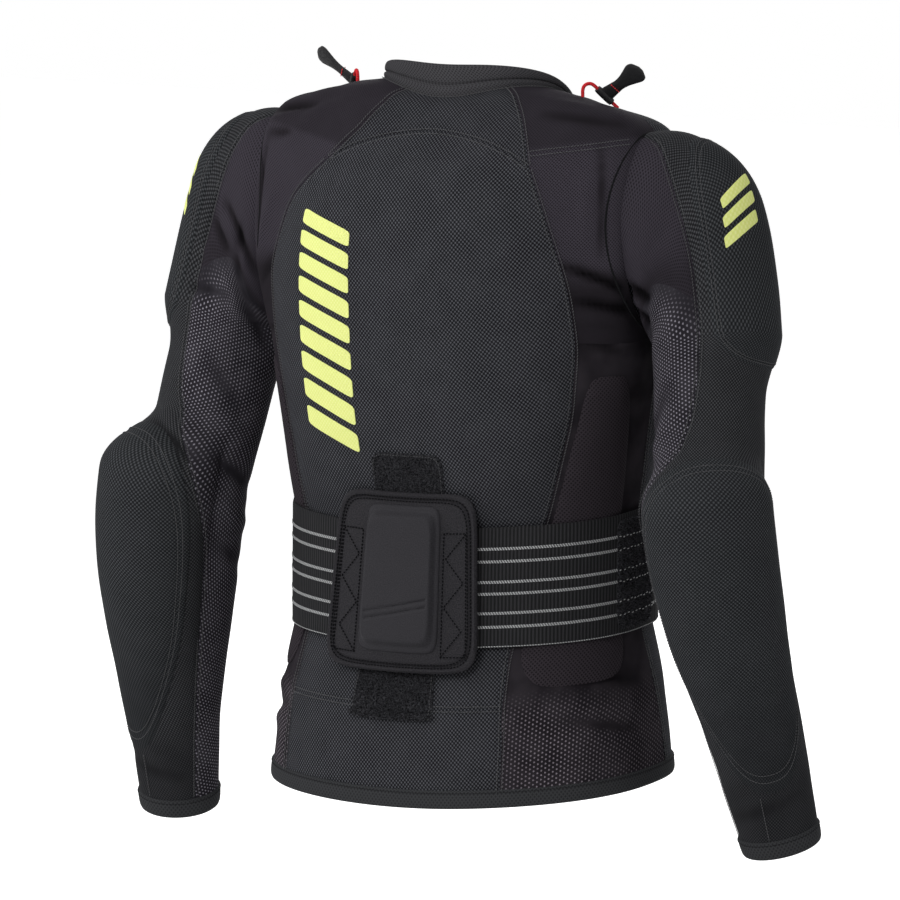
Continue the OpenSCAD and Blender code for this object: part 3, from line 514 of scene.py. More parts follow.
@dataclass(frozen=True)
class Sleeve(Surface):
    """Left sleeve: a swept head from the armhole to row 1, then a tube to the wrist."""

    torso: Torso = Torso()
    armhole_half_angle: float = 17
    arm_x: float = 221
    arm_y: float = 8
    arm_drop: float = 200
    elbow: tuple[float, float, float] = (250, 39, -340)
    wrist: tuple[float, float, float] = (290, -6, -616)
    forearm_bow: float = 11
    arm_r: float = 55
    elbow_r: float = 46
    wrist_r: float = 32
    shoulder_crown: float = 12.6
    elbow_crown: float = 39.5
    elbow_pad_turn: float = 67.5
    cuff_t: float = 5.8188
    armhole_reach: float = 42.0
    head_len: float = 140.0

    def rows(self) -> Array:
        """Line point and outward, inward, backward and forward radius of seven rows."""
        ex, ey, ez = self.elbow
        wx, wy, wz = self.wrist
        er, wr, bow = self.elbow_r, self.wrist_r, self.forearm_bow
        return np.array([
            [self.arm_x - 16, 0, 80 - self.arm_drop, self.arm_r, er + 6, er + 10, er + 10],
            [self.arm_x, self.arm_y, -self.arm_drop, self.arm_r, er - 6, er + 6, er + 6],
            [mix(self.arm_x, ex, 0.57), mix(self.arm_y, ey, 0.57), mix(-self.arm_drop, ez, 0.52),
             er + 1, er - 1, er + 1, er],
            [ex, ey, ez, er - 2, er, er + 1, er - 1],
            [mix(ex, wx, 0.41), mix(ey, wy, 0.35) + bow, mix(ez, wz, 0.35), er - 3, er + 1, er, er - 4],
            [mix(ex, wx, 0.77), mix(ey, wy, 0.68) + bow, mix(ez, wz, 0.68), mix(er, wr, 0.45),
             mix(er, wr, 0.4), mix(er, wr, 0.6), mix(er, wr, 0.6)],
            [wx, wy, wz, wr, wr, wr, wr],
        ])

    def frame(self, t: Array) -> tuple[Array, Array, Array]:
        """Directions along the sleeve, outwards and backwards."""
        rows = self.rows()
        ahead = unit(curve(rows, t + 0.01)[..., :3] - curve(rows, t - 0.01)[..., :3])
        out = unit(np.cross(ahead, np.array([0.0, 1.0, 0.0])))
        return ahead, out, -np.cross(ahead, out)

    def tube(self, a: Array, t: Array) -> Array:
        """Points of the tube: four quarter ellipses round the line."""
        r = curve(self.rows(), t)
        _, out, back = self.frame(t)
        c, s = np.cos(np.radians(a))[..., None], np.sin(np.radians(a))[..., None]
        wide = np.where(c >= 0, r[..., 3:4], r[..., 4:5]) * c * out
        deep = np.where(s >= 0, r[..., 5:6], r[..., 6:7]) * s * back
        return r[..., :3] + wide + deep

    def head(self, a: Array, w: Array) -> Array:
        """Points of the head: a cubic from the armhole, leaving outwards at the top, into the tube.

        Args:
            a: Angle round the sleeve.
            w: Share of the way from the armhole to the tube.

        Returns:
            Points in millimetres.
        """
        ahead, out, _ = self.frame(np.ones_like(w))
        turn = np.radians(a)
        top = ((1 + np.cos(turn)) / 2)[..., None]
        p3 = self.tube(a, np.ones_like(w))
        p0 = self.torso.base(90 - self.armhole_half_angle * np.sin(turn), 5 + np.cos(turn))
        p1 = p0 + unit(mix(ahead, out, top)) * mix(4.0, 74.0, top)
        p2 = p3 - ahead * mix(4.0, 110.0, top)
        w = w[..., None]
        k = 1 - w
        return k**3 * p0 + 3 * k * k * w * p1 + 3 * k * w * w * p2 + w**3 * p3

    def base(self, a: Array, t: Array) -> Array:
        """Points of the whole sleeve."""
        a, t = paired(a, t)
        return np.where((t < 1)[..., None], self.head(a, clamp(t)), self.tube(a, np.maximum(t, 1)))

    def normal(self, a: Array, t: Array) -> Array:
        """Outward directions, averaged over a short length where the head meets the tube."""
        a, t = paired(a, t)
        side = self.base(a + 1, t) - self.base(a - 1, t)
        return unit(np.cross(self.base(a, t + 0.05) - self.base(a, np.maximum(0, t - 0.05)), side))

    def flat(self, a: Array, t: Array) -> Array:
        """Lengths round a mean girth and along the line, so that the cloth's pattern is not sheared."""
        girth = curve(self.rows(), np.maximum(t, 1.0))[..., 3:].mean(-1)
        girth = girth + 12.0 * smooth((t - 1.9) / 1.3) * smooth((5.6 - t) / 2.4)
        marks = np.linspace(1.0, 6.2, 105)
        line = curve(self.rows(), marks)[:, :3]
        along = np.where(t < 1.0, (t - 1.0) * self.head_len, np.interp(t, marks, lengths(line)))
        return np.stack([np.radians(a) * girth, along], -1)

    def shift(self, a: Array, t: Array) -> Array:
        """The armhole's rise, fading down the sleeve."""
        away = super().flat(a, t)[..., 1] / self.armhole_reach
        return self.torso.armhole_rise(a) * np.exp(-away ** 2)[..., None]

    def rise(self, a: Array, t: Array) -> Array:
        """Height of the cloth over the shoulder and elbow armour."""
        a = (a + 180.0) % 360.0 - 180.0
        shoulder = hump((a + 60) / 120) * smooth((t - 0.2) / 0.4) * smooth((1.6 - t) / 0.75)
        turn = np.clip((a - self.elbow_pad_turn) / 75.0, -1.0, 1.0)
        elbow = np.cos(turn * np.pi / 2) ** 0.7 * smooth((t - 2.2) / 0.75) * smooth((5.4 - t) / 2.5)
        return self.shoulder_crown * shoulder + self.elbow_crown * elbow

    def back_seam(self, t: Array) -> Array:
        """Angle of the seam between the outer cloth and the mesh, behind the arm."""
        return eased([(0.02, 25), (0.13, 42), (0.3, 54), (0.5, 59), (0.7, 60), (1.0, 62), (1.45, 66),
                      (1.85, 74), (2.15, 86), (2.4, 95), (2.77, 114), (3.1, 127), (3.44, 137), (3.85, 142),
                      (4.5, 146), (5.0, 148), (5.82, 146)], t, 0.1)

    def front_seam(self, t: Array) -> Array:
        """Angle of the same seam in front of the arm, counted the other way."""
        return eased([(0.02, 25), (0.13, 42), (0.3, 54), (0.5, 59), (0.8, 61), (5.82, 62)], t, 0.1)


@dataclass(frozen=True)
class BeltLine(Surface):
    """Flat band between two rows of the body: a is the angle u and t the share of the height."""

    torso: Torso = Torso()
    low_v: float = 1.5816
    high_v: float = 2.6020
    height: float = 100.0

    def base(self, a: Array, t: Array) -> Array:
        """Points on straight lines along the chord from the low row to the high row, about its middle."""
        a, t = paired(a, t)
        low, high = self.torso.base(a, self.low_v), self.torso.base(a, self.high_v)
        return (low + high) / 2 + (t[..., None] - 0.5) * self.height * unit(high - low)


@dataclass(frozen=True)
class PlateLine(Surface):
    """Lumbar plate on the belt's line: a is the distance to the left and t the height in hundreds."""

    belt: BeltLine = BeltLine()
    left: float = 2.0
    lean: float = 4.5

    def base(self, a: Array, t: Array) -> Array:
        """Points on the belt's straight lines, carried past its edges and set left, more so at the foot."""
        a, t = paired(a, t)
        a = a + self.left - self.lean * t
        body = self.belt.torso
        depth = body.waist_back_d * (1 - (np.abs(a) / body.waist_half_w) ** body.square) ** (1 / body.square)
        return self.belt.base(np.degrees(np.arctan2(a, depth + 7.0)), 0.5 + t)

    def flat(self, a: Array, t: Array) -> Array:
        """The two distances themselves."""
        return np.stack([a, 100.0 * t], -1)


@dataclass
class Patch:
    """Part of a surface on a grid of its two parameters."""

    surface: Surface
    a: Array
    t: Array

    @classmethod
    def between(cls, surface: Surface, rows: Array, left: Callable[[Array], Array],
                right: Callable[[Array], Array], cells: int) -> "Patch":
        """Patch from a left edge to a right edge, both of which are functions of the row."""
        share = np.linspace(0.0, 1.0, cells + 1)[None]
        t = np.broadcast_to(rows[:, None], (len(rows), cells + 1))
        return cls(surface, mix(left(rows)[:, None], right(rows)[:, None], share), t)

    def border(self, low: bool = True, high: bool = True, left: bool = True,
               right: bool = True) -> Array:
        """Distance of each point from the nearest of the edges asked for."""
        p = self.surface.base(self.a, self.t)
        across, up = lengths(p, 1), lengths(p)
        asked = [(left, across), (right, across[:, -1:] - across), (low, up), (high, up[-1:] - up)]
        return np.min([reach for wanted, reach in asked if wanted], axis=0)

    def solid(self, off: Array, thick: Array | float, share: Array | float = 0.0,
              tone: Array | float = 1.0) -> Solid:
        """Shell of this patch with its outer face at off and its inner face thick below that."""
        off = np.broadcast_to(off, self.a.shape)
        outer = self.surface.point(self.a, self.t, off)
        inner = self.surface.point(self.a, self.t, off - thick)
        return shell(outer, inner, self.surface.flat(self.a, self.t), share, tone)

    def uneven(self, height: float, wave: float, seed: int) -> Array:
        """Soft unevenness of a height and a wave length over the patch."""
        return height * ripple(self.surface.base(self.a, self.t), wave, seed)


@dataclass
class Path:
    """Line on a surface, with the outward direction and the blend share at each point."""

    points: Array
    normals: Array
    share: Array

    @classmethod
    def on(cls, surface: Surface, a: Array, t: Array | float, off: Array | float = 0.0,
           share: Array | float = 0.0) -> "Path":
        """Line through pairs of parameters, at a height off."""
        a, t = paired(a, t)
        points = surface.point(a, t, off)
        return cls(points, surface.normal(a, t), np.broadcast_to(share, a.shape).astype(float))

    def spaced(self, step: float) -> "Path":
        """The same line with points at even steps."""
        run = lengths(self.points)
        even = np.linspace(0.0, run[-1], max(4, int(round(run[-1] / step)) + 1))
        points, normals = (np.stack([np.interp(even, run, k) for k in line.T], -1)
                           for line in (self.points, self.normals))
        return Path(points, unit(normals), np.interp(even, run, self.share))

    def frame(self) -> tuple[Array, Array]:
        """Directions along the line and across it."""
        ahead = unit(np.gradient(self.points, axis=0))
        return ahead, unit(np.cross(ahead, self.normals))

    def shifted(self, across: float, up: float = 0.0) -> "Path":
        """The line moved sideways on its surface and outwards."""
        _, side = self.frame()
        return Path(self.points + across * side + up * self.normals, self.normals, self.share)


def ribbon(path: Path, width: float, rise: float, sink: float, ridges: int = 1) -> Solid:
    """Flat or ridged band along a line.

    Args:
        path: Line that the band follows.
        width: Full width.
        rise: Height of its crown above the line.
        sink: Depth of its underside below the line.
        ridges: Number of rounded ridges side by side.

    Returns:
        A closed band whose section is a row of arches.
    """
    line = path.spaced(2.0)
    _, side = line.frame()
    x = np.linspace(-1.0, 1.0, 4 * ridges + 1)
    arch = np.sqrt(np.abs(np.sin((x + 1) / 2 * ridges * np.pi))) * 0.9 + 0.1
    arch[[0, -1]] = 0.0
    lay = line.points[:, None] + side[:, None] * (x * width / 2)[:, None]
    up = line.normals[:, None]
    outer = lay + up * (arch * rise)[:, None]
    inner = lay - up * sink
    uv = ruled(x * width / 2, lengths(line.points))
    return shell(outer[:, ::-1], inner[:, ::-1], uv[:, ::-1], line.share[:, None])


def stitches(path: Path, pitch: float, length: float, width: float = 0.8, lean: float = 0.0) -> Solid:
    """Row of single stitches: one small rounded bar, repeated along a line.

    Args:
        path: Line that the row follows.
        pitch: Distance between stitches.
        length: Length of a stitch.
        width: Thickness of the thread.
        lean: Sideways lean of each stitch for one unit along.

    Returns:
        All the bars in one solid, with their ends sunk into the cloth.
    """
    line = path.spaced(pitch)
    ahead, side = line.frame()
    ahead = unit(ahead + lean * side)
    side = unit(np.cross(ahead, line.normals))
    along = np.array([-0.5, -0.3, 0.3, 0.5]) * length
    thin = np.array([0.35, 1.0, 1.0, 0.35]) * width / 2
    turn = np.radians([45.0, 135.0, 225.0, 315.0])
    height = np.array([0.0, 0.35, 0.35, 0.0])[:, None]
    local = np.stack([
        np.repeat(along, 4),
        np.outer(thin, np.cos(turn)).ravel(),
        (np.outer(thin, np.sin(turn)) + height).ravel(),
    ], -1)
    axes = np.stack([ahead, side, line.normals], 1)
    points = line.points[:, None] + np.einsum("pk,nkc->npc", local, axes)
    number = closed(np.arange(16).reshape(4, 4))
    bar = np.concatenate([cells_of(number)[:, ::-1], [[0, 1, 2, 3], [15, 14, 13, 12]]])
    quads = copied(bar, 16, len(points))
    uv = np.zeros((len(quads), 4, 2)) + np.array([[0, 0], [0.4, 0], [0.4, 0.4], [0, 0.4]])
    return Solid(points.reshape(-1, 3), quads, uv, np.repeat(line.share, 16), np.ones(len(points) * 16))


def flatlock(path: Path) -> Solid:
    """Flat seam: two rows of stitches side by side that lean opposite ways."""
    line = path.spaced(1.5)
    rows = [(k, line.shifted(k * SEAM_GAP / 2, SEAM_RISE)) for k in (-1, 1)]
    return joined([stitches(row, 2.5, 2.3, 0.75, 0.35 * k) for k, row in rows])


def tufts(patch: Patch, off: Array, count: int, height: float, seed: int) -> Solid:
    """Pile of hook-and-loop tape: small bent blades at seeded places on a patch.

    Args:
        patch: Patch that carries the pile.
        off: Height of the patch's face.
        count: Number of blades.
        height: Typical length of a blade.
        seed: Number that fixes the places.

    Returns:
        All the blades, each a bent four-sided spike.
    """
    rng = np.random.default_rng(seed)
    rows, cols = patch.a.shape
    j, i = rng.uniform(0.01, 0.99, (2, count)) * np.array([[rows - 1.001], [cols - 1.001]])
    jf, fi = np.floor(j).astype(int), np.floor(i).astype(int)
    a = mix(patch.a[jf, fi], patch.a[jf, fi + 1], i - fi)
    t = mix(patch.t[jf, fi], patch.t[jf + 1, fi], j - jf)
    lift = np.broadcast_to(off, patch.a.shape)[jf, fi]
    foot, up = patch.surface.point(a, t, lift), patch.surface.normal(a, t)
    lean = unit(np.cross(up, rng.normal(size=(count, 3))))
    side = np.cross(up, lean)
    tall = height * rng.uniform(0.5, 1.3, (count, 1))
    levels = []
    for share, wide in ((-0.2, 0.28), (0.6, 0.24), (1.0, 0.06)):
        middle = foot + up * tall * share + lean * tall * 0.8 * max(share, 0.0) ** 2
        levels.append(np.stack([middle + wide * (lean * c + side * s)
                                for c, s in ((1, 1), (-1, 1), (-1, -1), (1, -1))], 1))
    points = np.stack(levels, 1).reshape(-1, 3)
    number = closed(np.arange(12).reshape(3, 4))
    blade = np.concatenate([cells_of(number)[:, ::-1], [[3, 2, 1, 0], [8, 9, 10, 11]]])
    quads = copied(blade, 12, count)
    uv = np.repeat(rng.uniform(0.0, 90.0, (count, 1, 2)), len(blade), 0) + np.zeros((1, 4, 1))
    return Solid(points, quads, uv, np.zeros(len(points)), np.ones(len(points)))


def crease(points: Array, path: Path, width: float) -> Array:
    """Closeness of points to a line: a bell of the given width that fades at the line's ends.

    Args:
        points: Places in millimetres.
        path: Middle of the crease.
        width: Distance at which the bell has dropped to about a third.

    Returns:
        Values from 0 to 1.
    """
    line = path.spaced(5.0).points
    fade = np.sin(np.linspace(0.0, np.pi, len(line))) ** 0.5
    flat = points.reshape(-1, 3)
    best = np.zeros(len(flat))
    for place, height in zip(line, fade):
        best = np.maximum(best, height * np.exp(-((flat - place) ** 2).sum(-1) / width**2))
    return best.reshape(points.shape[:-1])


Fold = tuple[float, float, float, float, float, float]


def folded(surface: Surface, points: Array, folds: Sequence[Fold]) -> Array:
    """Height of soft folds: the sum of creases between pairs of places on a surface.

    Args:
        surface: Surface that the places are on.
        points: Places in millimetres where the height is asked.
        folds: Two parameters of its start and of its end, height and width of each fold.

    Returns:
        Heights, below nought in the valleys.
    """
    total = np.zeros(points.shape[:-1])
    for *ends, height, width in folds:
        a, t = np.linspace(ends[:2], ends[2:], 12).T
        line = Path(surface.base(a, t), surface.normal(a, t), np.zeros(12))
        total = total + height * crease(points, line, width)
    return total


def seam_dip(edge: Array) -> Array:
    """Height of cloth near its edge, which dips into the seam over five millimetres."""
    return -0.9 * (1 - smooth(edge / 5.0))


def sunk(tone: Array | float, folds: Array) -> Array:
    """Pattern strength that drops below nought in the valleys of folds: painted shade that darkens the
    creases.
    """
    valley = clamp(-folds / FOLD_DEPTH)
    return tone * (1 - valley) - FOLD_PAINTED_SHADE * valley


class Weave(Enum):
    """Fine structure of a finish."""

    TWILL = "slanted rows of small dots"
    MESH = "open holes in a hexagonal lattice"
    KNIT = "fine plain knit"
    RIB = "ribs along the length"
    PILE = "cut pile"
    GRAIN = "moulded grain"
    BRAID = "crossed strands"
    TWIST = "twisted thread"
    METAL = "brushed metal"


class Board:
    """Node tree of one material, with short calls for the sums that a pattern needs."""

    def __init__(self, tree: bpy.types.NodeTree) -> None:
        """Keeps the tree."""
        self.tree = tree

    def add(self, kind: str, **values: object) -> bpy.types.Node:
        """New node whose named inputs hold the given values or are joined to the given sockets."""
        return self.fill(self.tree.nodes.new(kind), **values)

    def fill(self, node: bpy.types.Node, **values: object) -> bpy.types.Node:
        """The node with its named inputs set or joined, where a name has a low line for each space."""
        for name, value in values.items():
            self.feed(node.inputs[name.replace("_", " ")], value)
        return node

    def feed(self, slot: bpy.types.NodeSocket, term: object) -> None:
        """Joins a socket to a slot, or sets the slot to a number or a colour."""
        if isinstance(term, bpy.types.NodeSocket):
            self.tree.links.new(term, slot)
        else:
            slot.default_value = term

    def calc(self, kind: str, *terms: object) -> bpy.types.NodeSocket:
        """Result of a Math node on sockets or numbers."""
        node = self.tree.nodes.new("ShaderNodeMath")
        node.operation = kind
        for slot, term in zip(node.inputs, terms):
            self.feed(slot, term)
        return node.outputs[0]

    def mixed(self, share: object, low: object, high: object) -> bpy.types.NodeSocket:
        """Colour at a share of the way between two colours."""
        node = self.tree.nodes.new("ShaderNodeMix")
        node.data_type = "RGBA"
        for place, term in ((MIX_SHARE, share), (MIX_LOW, low), (MIX_HIGH, high)):
            self.feed(node.inputs[place], term)
        return node.outputs[MIX_OUT]

    def waves(self, x: object, y: object, degrees: float, pitch: float) -> bpy.types.NodeSocket:
        """Sine with a wave length of pitch along a direction at an angle from x."""
        k, turn = 2.0 * math.pi / pitch, math.radians(degrees)
        across = self.calc("MULTIPLY", x, k * math.cos(turn))
        return self.calc("SINE", self.calc("ADD", across, self.calc("MULTIPLY", y, k * math.sin(turn))))

    def ranged(self, x: object, low: float, high: float) -> bpy.types.NodeSocket:
        """Smooth step of x from low to high."""
        node = self.add("ShaderNodeMapRange", Value=x, From_Min=low, From_Max=high)
        node.interpolation_type = "SMOOTHSTEP"
        return node.outputs["Result"]

    def noise(self, vector: object, scale: float, detail: float = 2.0) -> bpy.types.NodeSocket:
        """Noise of the given number of waves in a unit of the vector."""
        return self.add("ShaderNodeTexNoise", Vector=vector, Scale=scale, Detail=detail).outputs[0]


def linear(srgb: Sequence[float]) -> tuple[float, float, float, float]:
    """Linear colour with full opacity from an 8-bit screen colour."""
    c = np.array(srgb, float) / 255.0
    r, g, b = np.where(c <= 0.04045, c / 12.92, ((c + 0.055) / 1.055) ** 2.4)
    return float(r), float(g), float(b), 1.0


@dataclass(frozen=True)
class Finish:
    """Look of one material: screen colours of its low and high points, and its fine structure."""

    name: str
    weave: Weave
    low: tuple[float, float, float]
    high: tuple[float, float, float]
    pitch: float
    depth: float
    rough: float = 0.9
    metallic: float = 0.0
    mottle: float = 0.06
    shine: float = 0.04
    on_object: bool = False

    def pattern(self, board: Board, vector: object) -> bpy.types.NodeSocket:
        """Height of the weave from 0 to 1.

        Args:
            board: Node tree of the material.
            vector: Place on the cloth in millimetres.

        Returns:
            The socket that carries the height.
        """
        x, y, _ = board.add("ShaderNodeSeparateXYZ", Vector=vector).outputs
        pitch = self.pitch
        if self.weave is Weave.TWILL:
            row = board.waves(x, y, 36.0, pitch)
            dot = board.waves(x, y, -48.0, pitch)
            return board.ranged(board.calc("ADD", row, dot), -0.7, 1.6)
        if self.weave is Weave.MESH:
            parts = [board.waves(x, y, k, pitch * 0.866) for k in (0.0, 60.0, 120.0)]
            outer = board.calc("ADD", parts[0], parts[2])
            return board.ranged(board.calc("SUBTRACT", outer, parts[1]), 0.7, 2.0)
        if self.weave in (Weave.KNIT, Weave.BRAID):
            first = board.waves(x, y, 45.0, pitch)
            second = board.waves(x, y, -45.0, pitch)
            return board.ranged(board.calc("MAXIMUM", first, second), -0.6, 1.0)
        if self.weave is Weave.RIB:
            return board.ranged(board.waves(x, y, 0.0, pitch), -1.0, 1.0)
        if self.weave is Weave.TWIST:
            return board.ranged(board.waves(x, y, 60.0, pitch), -0.8, 0.8)
        if self.weave is Weave.METAL:
            return board.noise(vector, 1.0 / pitch, 4.0)
        return board.ranged(board.noise(vector, 1.0 / pitch, 3.0), 0.3, 0.7)

    def material(self) -> bpy.types.Material:
        """The finish as a node material, made once.

        Returns:
            A material whose colour and bump follow the weave, with a broad mottle over it, and with painted
            shade that darkens the colour where the tone attribute is below nought.
        """
        name = f"look_{self.name}"
        made = bpy.data.materials.get(name)
        if made is not None:
            return made
        made = bpy.data.materials.new(name)
        made.use_nodes = True
        board = Board(made.node_tree)
        shader = made.node_tree.nodes["Principled BSDF"]
        if self.on_object:
            place = board.add("ShaderNodeTexCoord").outputs["Object"]
            vector = board.add("ShaderNodeMapping", Vector=place, Scale=(1 / MM, 1 / MM, 1 / MM)).outputs[0]
        else:
            place = board.add("ShaderNodeUVMap")
            place.uv_map = "UVMap"
            vector = place.outputs[0]
        height = self.pattern(board, vector)
        tone = board.add("ShaderNodeAttribute")
        tone.attribute_name = "tone"
        level = board.calc("MAXIMUM", tone.outputs["Fac"], 0.0)
        tinted = height if self.on_object else board.calc("MULTIPLY", height, level)
        cloud = board.ranged(board.noise(vector, CLOUD_SCALE), 0.3, 0.7)
        share = board.calc("ADD", board.calc("MULTIPLY", tinted, 1.0 - self.mottle),
                           board.calc("MULTIPLY", cloud, self.mottle))
        colour = board.mixed(share, linear(self.low), linear(self.high))
        # Painted shade: where the tone attribute is below nought, the colour is darkened towards black.
        light = board.calc("ADD", board.calc("MINIMUM", tone.outputs["Fac"], 0.0), 1.0)
        rough = board.calc("ADD", board.calc("MULTIPLY", height, -0.08), self.rough + 0.04)
        bump = board.add("ShaderNodeBump", Strength=1.0, Distance=self.depth * MM, Height=tinted)
        board.fill(shader, Base_Color=board.mixed(light, BLACK, colour), Roughness=rough,
                   Metallic=self.metallic, Specular_IOR_Level=self.shine, Normal=bump.outputs[0])
        return made


BACK_CLOTH = Finish("back_cloth", Weave.TWILL, (26, 26, 29), (90, 91, 96), 2.4, 0.35)
SHOULDER_CLOTH = Finish("shoulder_cloth", Weave.KNIT, (35, 32, 36), (66, 62, 70), 2.0, 0.2)
# In both mesh finishes the high colour is painted light: the holes are coloured as the bright space seen
# through them.
MESH_CLOTH = Finish("mesh_cloth", Weave.MESH, (38, 36, 41), (150, 146, 156), 3.4, 0.45)
SIDE_MESH = Finish("side_mesh", Weave.MESH, (35, 32, 36), (140, 132, 140), 3.7, 0.5)
FLANK_CLOTH = Finish("flank_cloth", Weave.KNIT, (30, 27, 30), (58, 53, 58), 2.5, 0.2)
SLEEVE_CLOTH = Finish("sleeve_cloth", Weave.TWILL, (30, 30, 32), (78, 79, 82), 2.0, 0.25)
PAD_CLOTH = Finish("pad_cloth", Weave.TWILL, (31, 32, 34), (76, 78, 81), 1.9, 0.25)
COLLAR_CLOTH = Finish("collar_cloth", Weave.KNIT, (42, 42, 44), (74, 73, 76), 2.3, 0.16)
BINDING = Finish("binding", Weave.KNIT, (44, 44, 46), (62, 63, 65), 2.4, 0.12)
BELT_WEB = Finish("belt_webbing", Weave.RIB, (33, 33, 34), (54, 54, 56), 3.0, 0.3)
STRIPE = Finish("belt_stripe", Weave.TWIST, (88, 89, 90), (198, 199, 200), 2.0, 0.3, rough=0.55)
HOOK_PILE = Finish("hook_pile", Weave.PILE, (4, 4, 5), (76, 76, 80), 1.7, 0.9)
PLATE_CLOTH = Finish("plate_cloth", Weave.GRAIN, (40, 39, 42), (58, 57, 60), 1.1, 0.1, rough=0.75)
MOULDED = Finish("moulded_pad", Weave.GRAIN, (41, 40, 43), (53, 52, 56), 0.9, 0.06, rough=0.6, shine=0.1)
THREAD = Finish("seam_thread", Weave.TWIST, (50, 50, 52), (92, 92, 94), 1.0, 0.1)
PLATE_THREAD = Finish("plate_thread", Weave.TWIST, (3, 3, 4), (20, 20, 22), 1.0, 0.1)
DARK_THREAD = Finish("dark_thread", Weave.TWIST, (14, 14, 15), (38, 38, 40), 1.0, 0.1)
LIME_PRINT = Finish("lime_print", Weave.TWILL, (240, 248, 146), (250, 255, 170), 2.4, 0.12, rough=0.6)
CORD_BRAID = Finish("cord_braid", Weave.BRAID, (204, 26, 38), (246, 62, 68), 1.2, 0.25, rough=0.6)
RED_THREAD = Finish("red_thread", Weave.TWIST, (214, 32, 46), (244, 76, 82), 1.0, 0.1)
TAB_RUBBER = Finish("tab_rubber", Weave.GRAIN, (26, 26, 27), (40, 40, 42), 0.8, 0.1, rough=0.55, shine=0.2)
ZIP_TAPE = Finish("zip_tape", Weave.RIB, (26, 26, 28), (44, 44, 47), 1.6, 0.2)
ZIP_COIL = Finish("zip_coil", Weave.GRAIN, (32, 32, 34), (48, 48, 51), 0.6, 0.05, rough=0.4, shine=0.3)
ZIP_METAL = Finish("zip_metal", Weave.METAL, (96, 97, 99), (132, 133, 135), 0.8, 0.03, rough=0.35,
                   metallic=1.0, on_object=True)
ZIP_PULL = Finish("zip_pull", Weave.GRAIN, (28, 28, 30), (44, 44, 46), 0.8, 0.1, rough=0.5, shine=0.2,
                  on_object=True)


@dataclass(frozen=True)
class Mount:
    """How a piece is carried: on one body, or bent between two over some rows of a sleeve."""

    body: str
    other: str | None = None
    start: float = 0.0
    span: float = 1.0

    def share(self, t: Array) -> Array:
        """Blend share from the first body to the other at a row."""
        return smooth((t - self.start) / self.span)


JACKET = Mount("jacket")


def make_piece(name: str, solid: Solid, finish: Finish, nodes: Sequence[str] = (),
               mount: Mount = JACKET, side: Side = Side.LEFT) -> bpy.types.Object:
    """Makes one piece of the jacket.

    Args:
        name: Name of the piece, with braces where the side's letter goes.
        solid: Its form on the wearer's left.
        finish: Its material.
        nodes: CAD nodes that it stands for, with braces in the same way.
        mount: Body or bodies that carry it.
        side: Side of the wearer, which mirrors the form.

    Returns:
        The object, in metres at the origin.
    """
    flip = slice(None) if side is Side.LEFT else slice(None, None, -1)
    quads = np.ascontiguousarray(solid.quads[:, flip])
    corners = np.ascontiguousarray(solid.corners[:, flip])
    name = name.format(side.tag)
    mesh = bpy.data.meshes.new(name)
    mesh.vertices.add(len(solid.points))
    mesh.vertices.foreach_set("co", (side.place(solid.points) * MM).astype(np.float32).ravel())
    mesh.loops.add(quads.size)
    mesh.loops.foreach_set("vertex_index", quads.astype(np.int32).ravel())
    mesh.polygons.add(len(quads))
    mesh.polygons.foreach_set("loop_start", np.arange(0, quads.size, 4, dtype=np.int32))
    layer = mesh.uv_layers.new(name="UVMap")
    layer.uv.foreach_set("vector", corners.astype(np.float32).ravel())
    mesh.attributes.new("tone", "FLOAT", "POINT").data.foreach_set("value", solid.tone.astype(np.float32))
    mesh.update(calc_edges=True)
    mesh.polygons.foreach_set("use_smooth", np.ones(len(quads), bool))
    mesh.set_sharp_from_angle(angle=math.radians(SHARP_ANGLE))
    mesh.materials.append(finish.material())
    piece = bpy.data.objects.new(name, mesh)
    bpy.context.scene.collection.objects.link(piece)
    if mount.other is None:
        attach(piece, mount.body)
    else:
        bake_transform(piece, mount.body, mount.other, start=(0, 0, 0), end=(0, 0, -1))
        shares = piece.data.attributes["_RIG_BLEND"].data
        shares.foreach_set("value", solid.share.astype(np.float32))
    if nodes:
        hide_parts(*(node.format(side.tag) for node in nodes))
    LOG.info("%s: %d faces", name, len(quads))
    return piece


